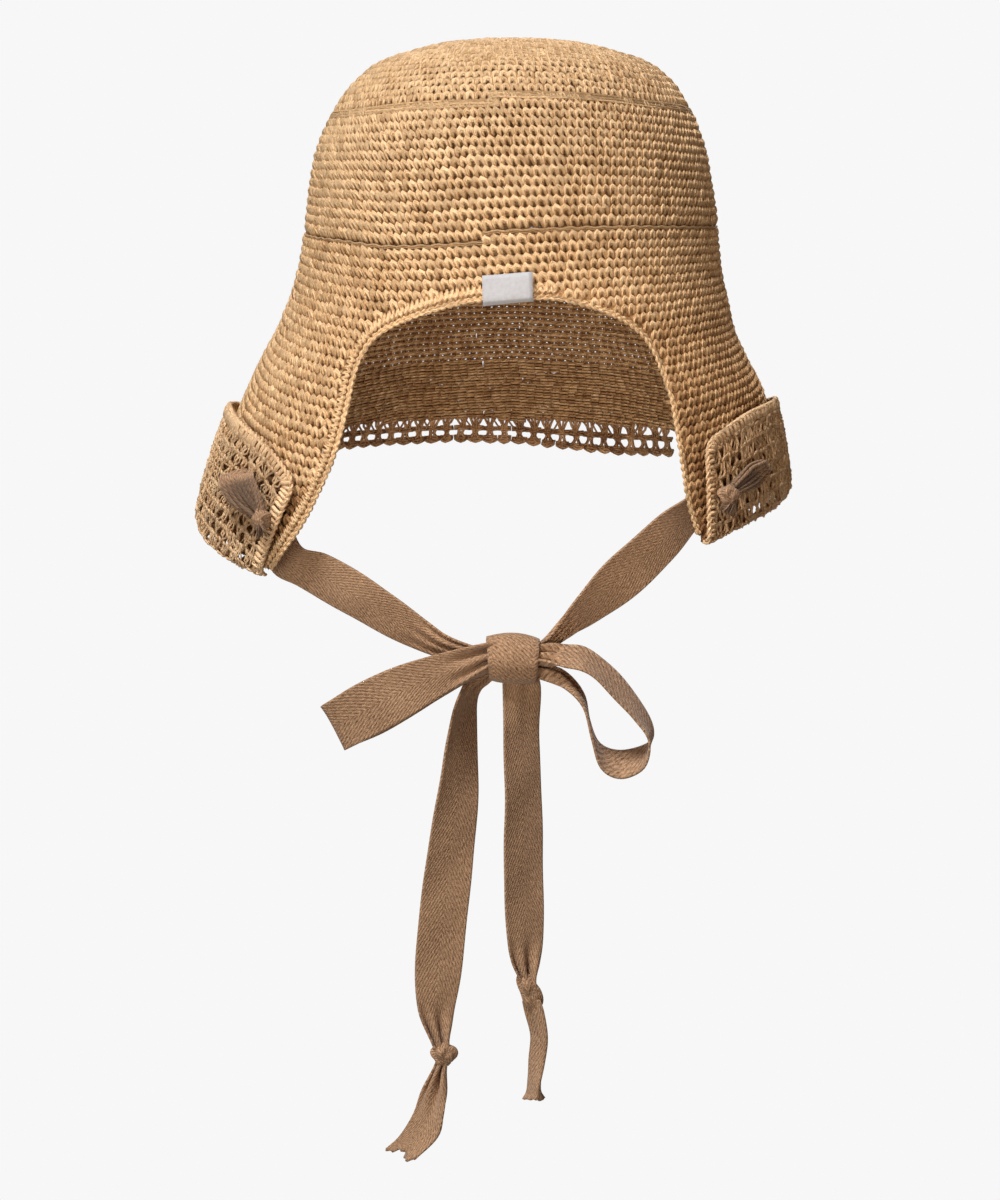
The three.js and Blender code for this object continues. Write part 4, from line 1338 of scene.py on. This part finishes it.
def twillGroup():
    group, given, put = newGroup(
        "herringboneWeave",
        {
            "Rib Pitch": 2.5,
            "Chevron Width": 10.0,
            "Light": (0.42, 0.26, 0.15, 1),
            "Dark": (0.2, 0.11, 0.06, 1),
        },
        ("Color", "Height"),
    )
    uv = tapeUv(group)
    across, along = partsOf(group, uv)[:2]
    place = group.nodes.new("ShaderNodeTexCoord").outputs["Object"]
    fold = mathNode(group, "PINGPONG", across, given["Chevron Width"])
    slant = scaled(group, fold, 1.9, along)
    slant = scaled(group, noiseNode(group, uv, 0.8, 2), 1.6, slant)
    ribs = wavesOf(group, mathNode(group, "DIVIDE", slant, given["Rib Pitch"]))
    ribs = scaled(group, ribs, 0.5, 0.5)
    threads = pointOf(group, scaled(group, slant, 1.1), scaled(group, across, 1.1))
    dashes = scaled(group, noiseNode(group, threads, 1.3, 3, 0.7), 3.2, -1.6)
    broad = noiseNode(group, place, 70, 3)
    level = scaled(group, ribs, 0.34, dashes)
    level = mathNode(group, "ADD", level, 0.33)
    level = mathNode(group, "ADD", level, scaled(group, broad, 0.3, -0.15))
    level.node.use_clamp = True
    shade = mixColors(group, level, given["Dark"], given["Light"])
    group.links.new(shade, put["Color"])
    height = scaled(group, dashes, 0.4, ribs)
    group.links.new(height, put["Height"])
    return group


def tapeMaterial(name, group, light, dark):
    material, tree, shader = newMaterial(name)
    weave = placeGroup(tree, group, Light=light, Dark=dark)
    addBump(tree, shader, weave["Height"], 0.6, 0.00025)
    # the shade attribute darkens the weave's colour: painted shade in the gathered pleats
    shade = attributeNode(tree, "shade").outputs["Fac"]
    weaveWithPaintedShade = mixColors(tree, shade, weave["Color"], (0.05, 0.028, 0.015, 1))
    tree.links.new(weaveWithPaintedShade, shader.inputs["Base Color"])
    shader.inputs["Roughness"].default_value = 0.82
    shader.inputs["Specular IOR Level"].default_value = 0.25
    shader.inputs["Sheen Weight"].default_value = 0.15
    return material


def labelMaterial():
    material, tree, shader = newMaterial("label_tape")
    uv = tapeUv(tree)
    across, along = partsOf(tree, uv)[:2]
    ribs, weft = wavesOf(tree, scaled(tree, across, 2.0)), wavesOf(tree, scaled(tree, along, 1 / 0.35))
    weave = scaled(tree, ribs, 0.5, scaled(tree, weft, 0.5))
    addBump(tree, shader, weave, 0.35, 0.0001)
    cloudy = noiseNode(tree, uv, 0.7, 3)
    shade = mixColors(tree, cloudy, (0.37, 0.375, 0.385, 1), (0.5, 0.508, 0.53, 1))
    tree.links.new(shade, shader.inputs["Base Color"])
    shader.inputs["Roughness"].default_value = 0.45
    shader.inputs["Sheen Weight"].default_value = 0.2
    return material


yarn = yarnGroup()
strawYarn = yarnMaterial(
    "straw_yarn", yarn, light=(0.91, 0.63, 0.35), middle=(0.58, 0.34, 0.15), deep=(0.24, 0.105, 0.034),
    streaks=0.95, specular=0.35,
)
openYarn = yarnMaterial(
    "openwork_yarn", yarn, light=(0.97, 0.69, 0.41), middle=(0.65, 0.385, 0.185), deep=(0.15, 0.06, 0.02),
    streaks=0.9, specular=0.3,
)
twill = twillGroup()
wovenTape = tapeMaterial("woven_tape", twill, light=(0.56, 0.35, 0.20), dark=(0.13, 0.062, 0.03))
print("materials made")


def finishPiece(piece, slotName, *nodes):
    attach(piece, "root")
    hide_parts(*nodes)


crownTop = buildCrownTop()
addRidge(crownTop)
band = buildBand()
addGrooveLine(band)
skirtWorks = {name: Work() for name in skirtParts}
buildSkirt(skirtWorks)
addArchBorder(skirtWorks)
pieces = {
    "crown_top": (crownTop, "crown_plate"),
    "crown_band": (band, "crown_side"),
    "skirt_left": (skirtWorks["skirt_left"], "skirt"),
    "skirt_right": (skirtWorks["skirt_right"], "skirt"),
    "skirt_back": (skirtWorks["skirt_back"], "skirt"),
    "face_chain": (buildEdging(), "face_edging"),
}
for name, (work, node) in pieces.items():
    finishPiece(work.toPiece(name, strawYarn), "straw_yarn", node)
for name, work, node in (
    ("left_cuff_net", buildCuff("left"), "left_cuff"),
    ("right_cuff_net", buildCuff("right"), "right_cuff"),
    ("back_hem_net", buildHem(), "mesh_hem"),
):
    finishPiece(work.toPiece(name, openYarn), "openwork_yarn", node)
print("crochet made")

knotLook = {
    "left_tail_knot": {
        "node": "tail_knot_left", "at": (-27.6, -95, -407), "half": (5.2, 4.4, 5.3), "tilt": -35,
    },
    "right_tail_knot": {"node": "tail_knot_right", "at": (7, -95, -381.6), "half": (4.3, 4, 9), "tilt": -20},
    "left_outer_knot": {
        "node": "left_tie_knot", "at": shellRow(-48.3, -191.8, 8.2), "half": (4.2, 3.8, 4.4), "tilt": 30,
    },
    "right_outer_knot": {
        "node": "right_tie_knot", "at": shellRow(46, -181.8, 8.2), "half": (4.2, 3.8, 4.4), "tilt": -30,
    },
}
finishPiece(makeBowKnot("bow_wrap", bowKnotLook, wovenTape), "woven_tape", "bow_knot")
for name, look in knotLook.items():
    finishPiece(makeKnot(name, look, wovenTape), "woven_tape", look["node"])

threadEnds = yarnMaterial(
    "tape_threads", yarn, light=(0.50, 0.34, 0.22), middle=(0.27, 0.16, 0.10), deep=(0.10, 0.05, 0.028),
    streaks=0.6, specular=0.25,
)
for name, look in tuftLook.items():
    finishPiece(buildTuft(look).toPiece(name, threadEnds), "woven_tape", look["node"])

tapePieces = {
    "left_tie": ("left_tie_tape", "hung", ["skirt_left", "left_outer_knot"], ["left_outer_knot"]),
    "right_tie": ("right_tie_tape", "hung", ["skirt_right", "right_outer_knot"], ["right_outer_knot"]),
    "bow_loop_left": ("left_loop_tape", "folded", ["bow_wrap"], []),
    "bow_loop_right": ("right_loop_tape", "folded", ["bow_wrap"], []),
    "bow_tail_left": ("left_tail_tape", "hung", ["bow_wrap"], ["left_tail_knot"]),
    "bow_tail_right": ("right_tail_tape", "hung", ["bow_wrap"], ["bow_wrap", "right_tail_knot"]),
    "tail_end_left": ("left_tail_end", "hung", ["left_tail_knot"], []),
    "tail_end_right": ("right_tail_end", "gathered", ["right_tail_knot"], []),
}
for node, (name, held, restsOn, withPieces) in tapePieces.items():
    piece, length = bendTape(name, tapeRows[node], tapeLook, wovenTape)
    finishPiece(piece, "woven_tape", node)
    print(f"{name}: {length:.1f} mm long")

labelRows = [
    (-2.1, -102.8, -92.4, 20, 0, 1.5), (-1.9, -104.4, -101.3, 20, 0, 1.5), (-1.8, -103.8, -103.1, 20, 0, 1.5),
    (-1.8, -101.2, -103.9, 20, 0, 1.5), (-1.8, -98.4, -103.1, 20, 0, 1.5), (-1.9, -97.3, -101, 20, 0, 1.5),
    (-2.1, -96.3, -93.4, 20, 0, 1.5),
]
labelLook = {"width": 20, "thickness": 0.5, "folds": 2, "acrossSteps": 10, "alongSteps": 5}
label, labelLength = bendTape("bare_label", labelRows, labelLook, labelMaterial())
finishPiece(label, "label_tape", "label_tab")
print("tape made")

stageLook = {"floorHeight": -0.9, "floorSize": 40.0, "seen": 0.93, "shade": 0.35}


def makeStage():
    bm = bmesh.new()
    bmesh.ops.create_circle(bm, cap_ends=True, segments=64, radius=stageLook["floorSize"])
    bmesh.ops.translate(bm, vec=(0, 0, stageLook["floorHeight"]), verts=bm.verts)
    material = bpy.data.materials.new("pale_floor")
    floor = newPiece("floor", meshOf("floor", bm), material)
    material.use_nodes = True
    tree = material.node_tree
    tree.nodes.clear()
    seen = tree.nodes.new("ShaderNodeEmission")
    seen.inputs["Strength"].default_value = stageLook["seen"]
    plain = tree.nodes.new("ShaderNodeBsdfDiffuse")
    shade = stageLook["shade"]
    plain.inputs["Color"].default_value = (shade, shade, shade, 1)
    light = tree.nodes.new("ShaderNodeLightPath")
    choose = tree.nodes.new("ShaderNodeMixShader")
    put = tree.nodes.new("ShaderNodeOutputMaterial")
    tree.links.new(light.outputs["Is Camera Ray"], choose.inputs[0])
    tree.links.new(plain.outputs[0], choose.inputs[1])
    tree.links.new(seen.outputs[0], choose.inputs[2])
    tree.links.new(choose.outputs[0], put.inputs["Surface"])


studioLook = {
    "fill": (0.25, 0.19, 0.14),  # warm light from all round, as the yarn throws it back
    "seen": 0.93,
}


def makeWorld():
    world = bpy.data.worlds.new("studio")
    world.use_nodes = True
    scene.world = world
    tree = world.node_tree
    background = tree.nodes["Background"]
    light = tree.nodes.new("ShaderNodeLightPath")
    fill = studioLook["fill"]
    seen = mixColors(tree, light.outputs["Is Camera Ray"], (*fill, 1), (*[studioLook["seen"]] * 3, 1))
    tree.links.new(seen, background.inputs["Color"])
    background.inputs["Strength"].default_value = 1


def makeLamp(kind, name, place, aim, power, color):
    data = bpy.data.lights.new(name, kind)
    data.energy = power
    data.color = color
    lamp = bpy.data.objects.new(name, data)
    lamp.location = place
    lamp.rotation_euler = (Vector(aim) - Vector(place)).to_track_quat("-Z", "Y").to_euler()
    scene.collection.objects.link(lamp)
    return data


makeStage()
makeWorld()
makeLamp("AREA", "key", (-0.8, -1.35, 2.5), (0, 0, -0.1), 98, (0.99, 1, 1.04)).size = 0.9
makeLamp("AREA", "front", (-1.35, -2.5, -0.05), (0, 0, -0.2), 24, (1, 0.96, 0.9)).size = 1.2
makeLamp("AREA", "back", (0.3, 2.9, 0.7), (0, 0, -0.15), 42, (1, 0.97, 0.93)).size = 1.2
hollow = makeLamp("SPOT", "hollow", (0.0, -2.2, -0.45), (0, 0.1, -0.125), 86, (1, 0.84, 0.72))
hollow.spot_size = math.radians(5.4)
hollow.spot_blend = 0.6
hollow.shadow_soft_size = 0.05
scene.view_settings.view_transform = "Standard"
print("stage and light made")
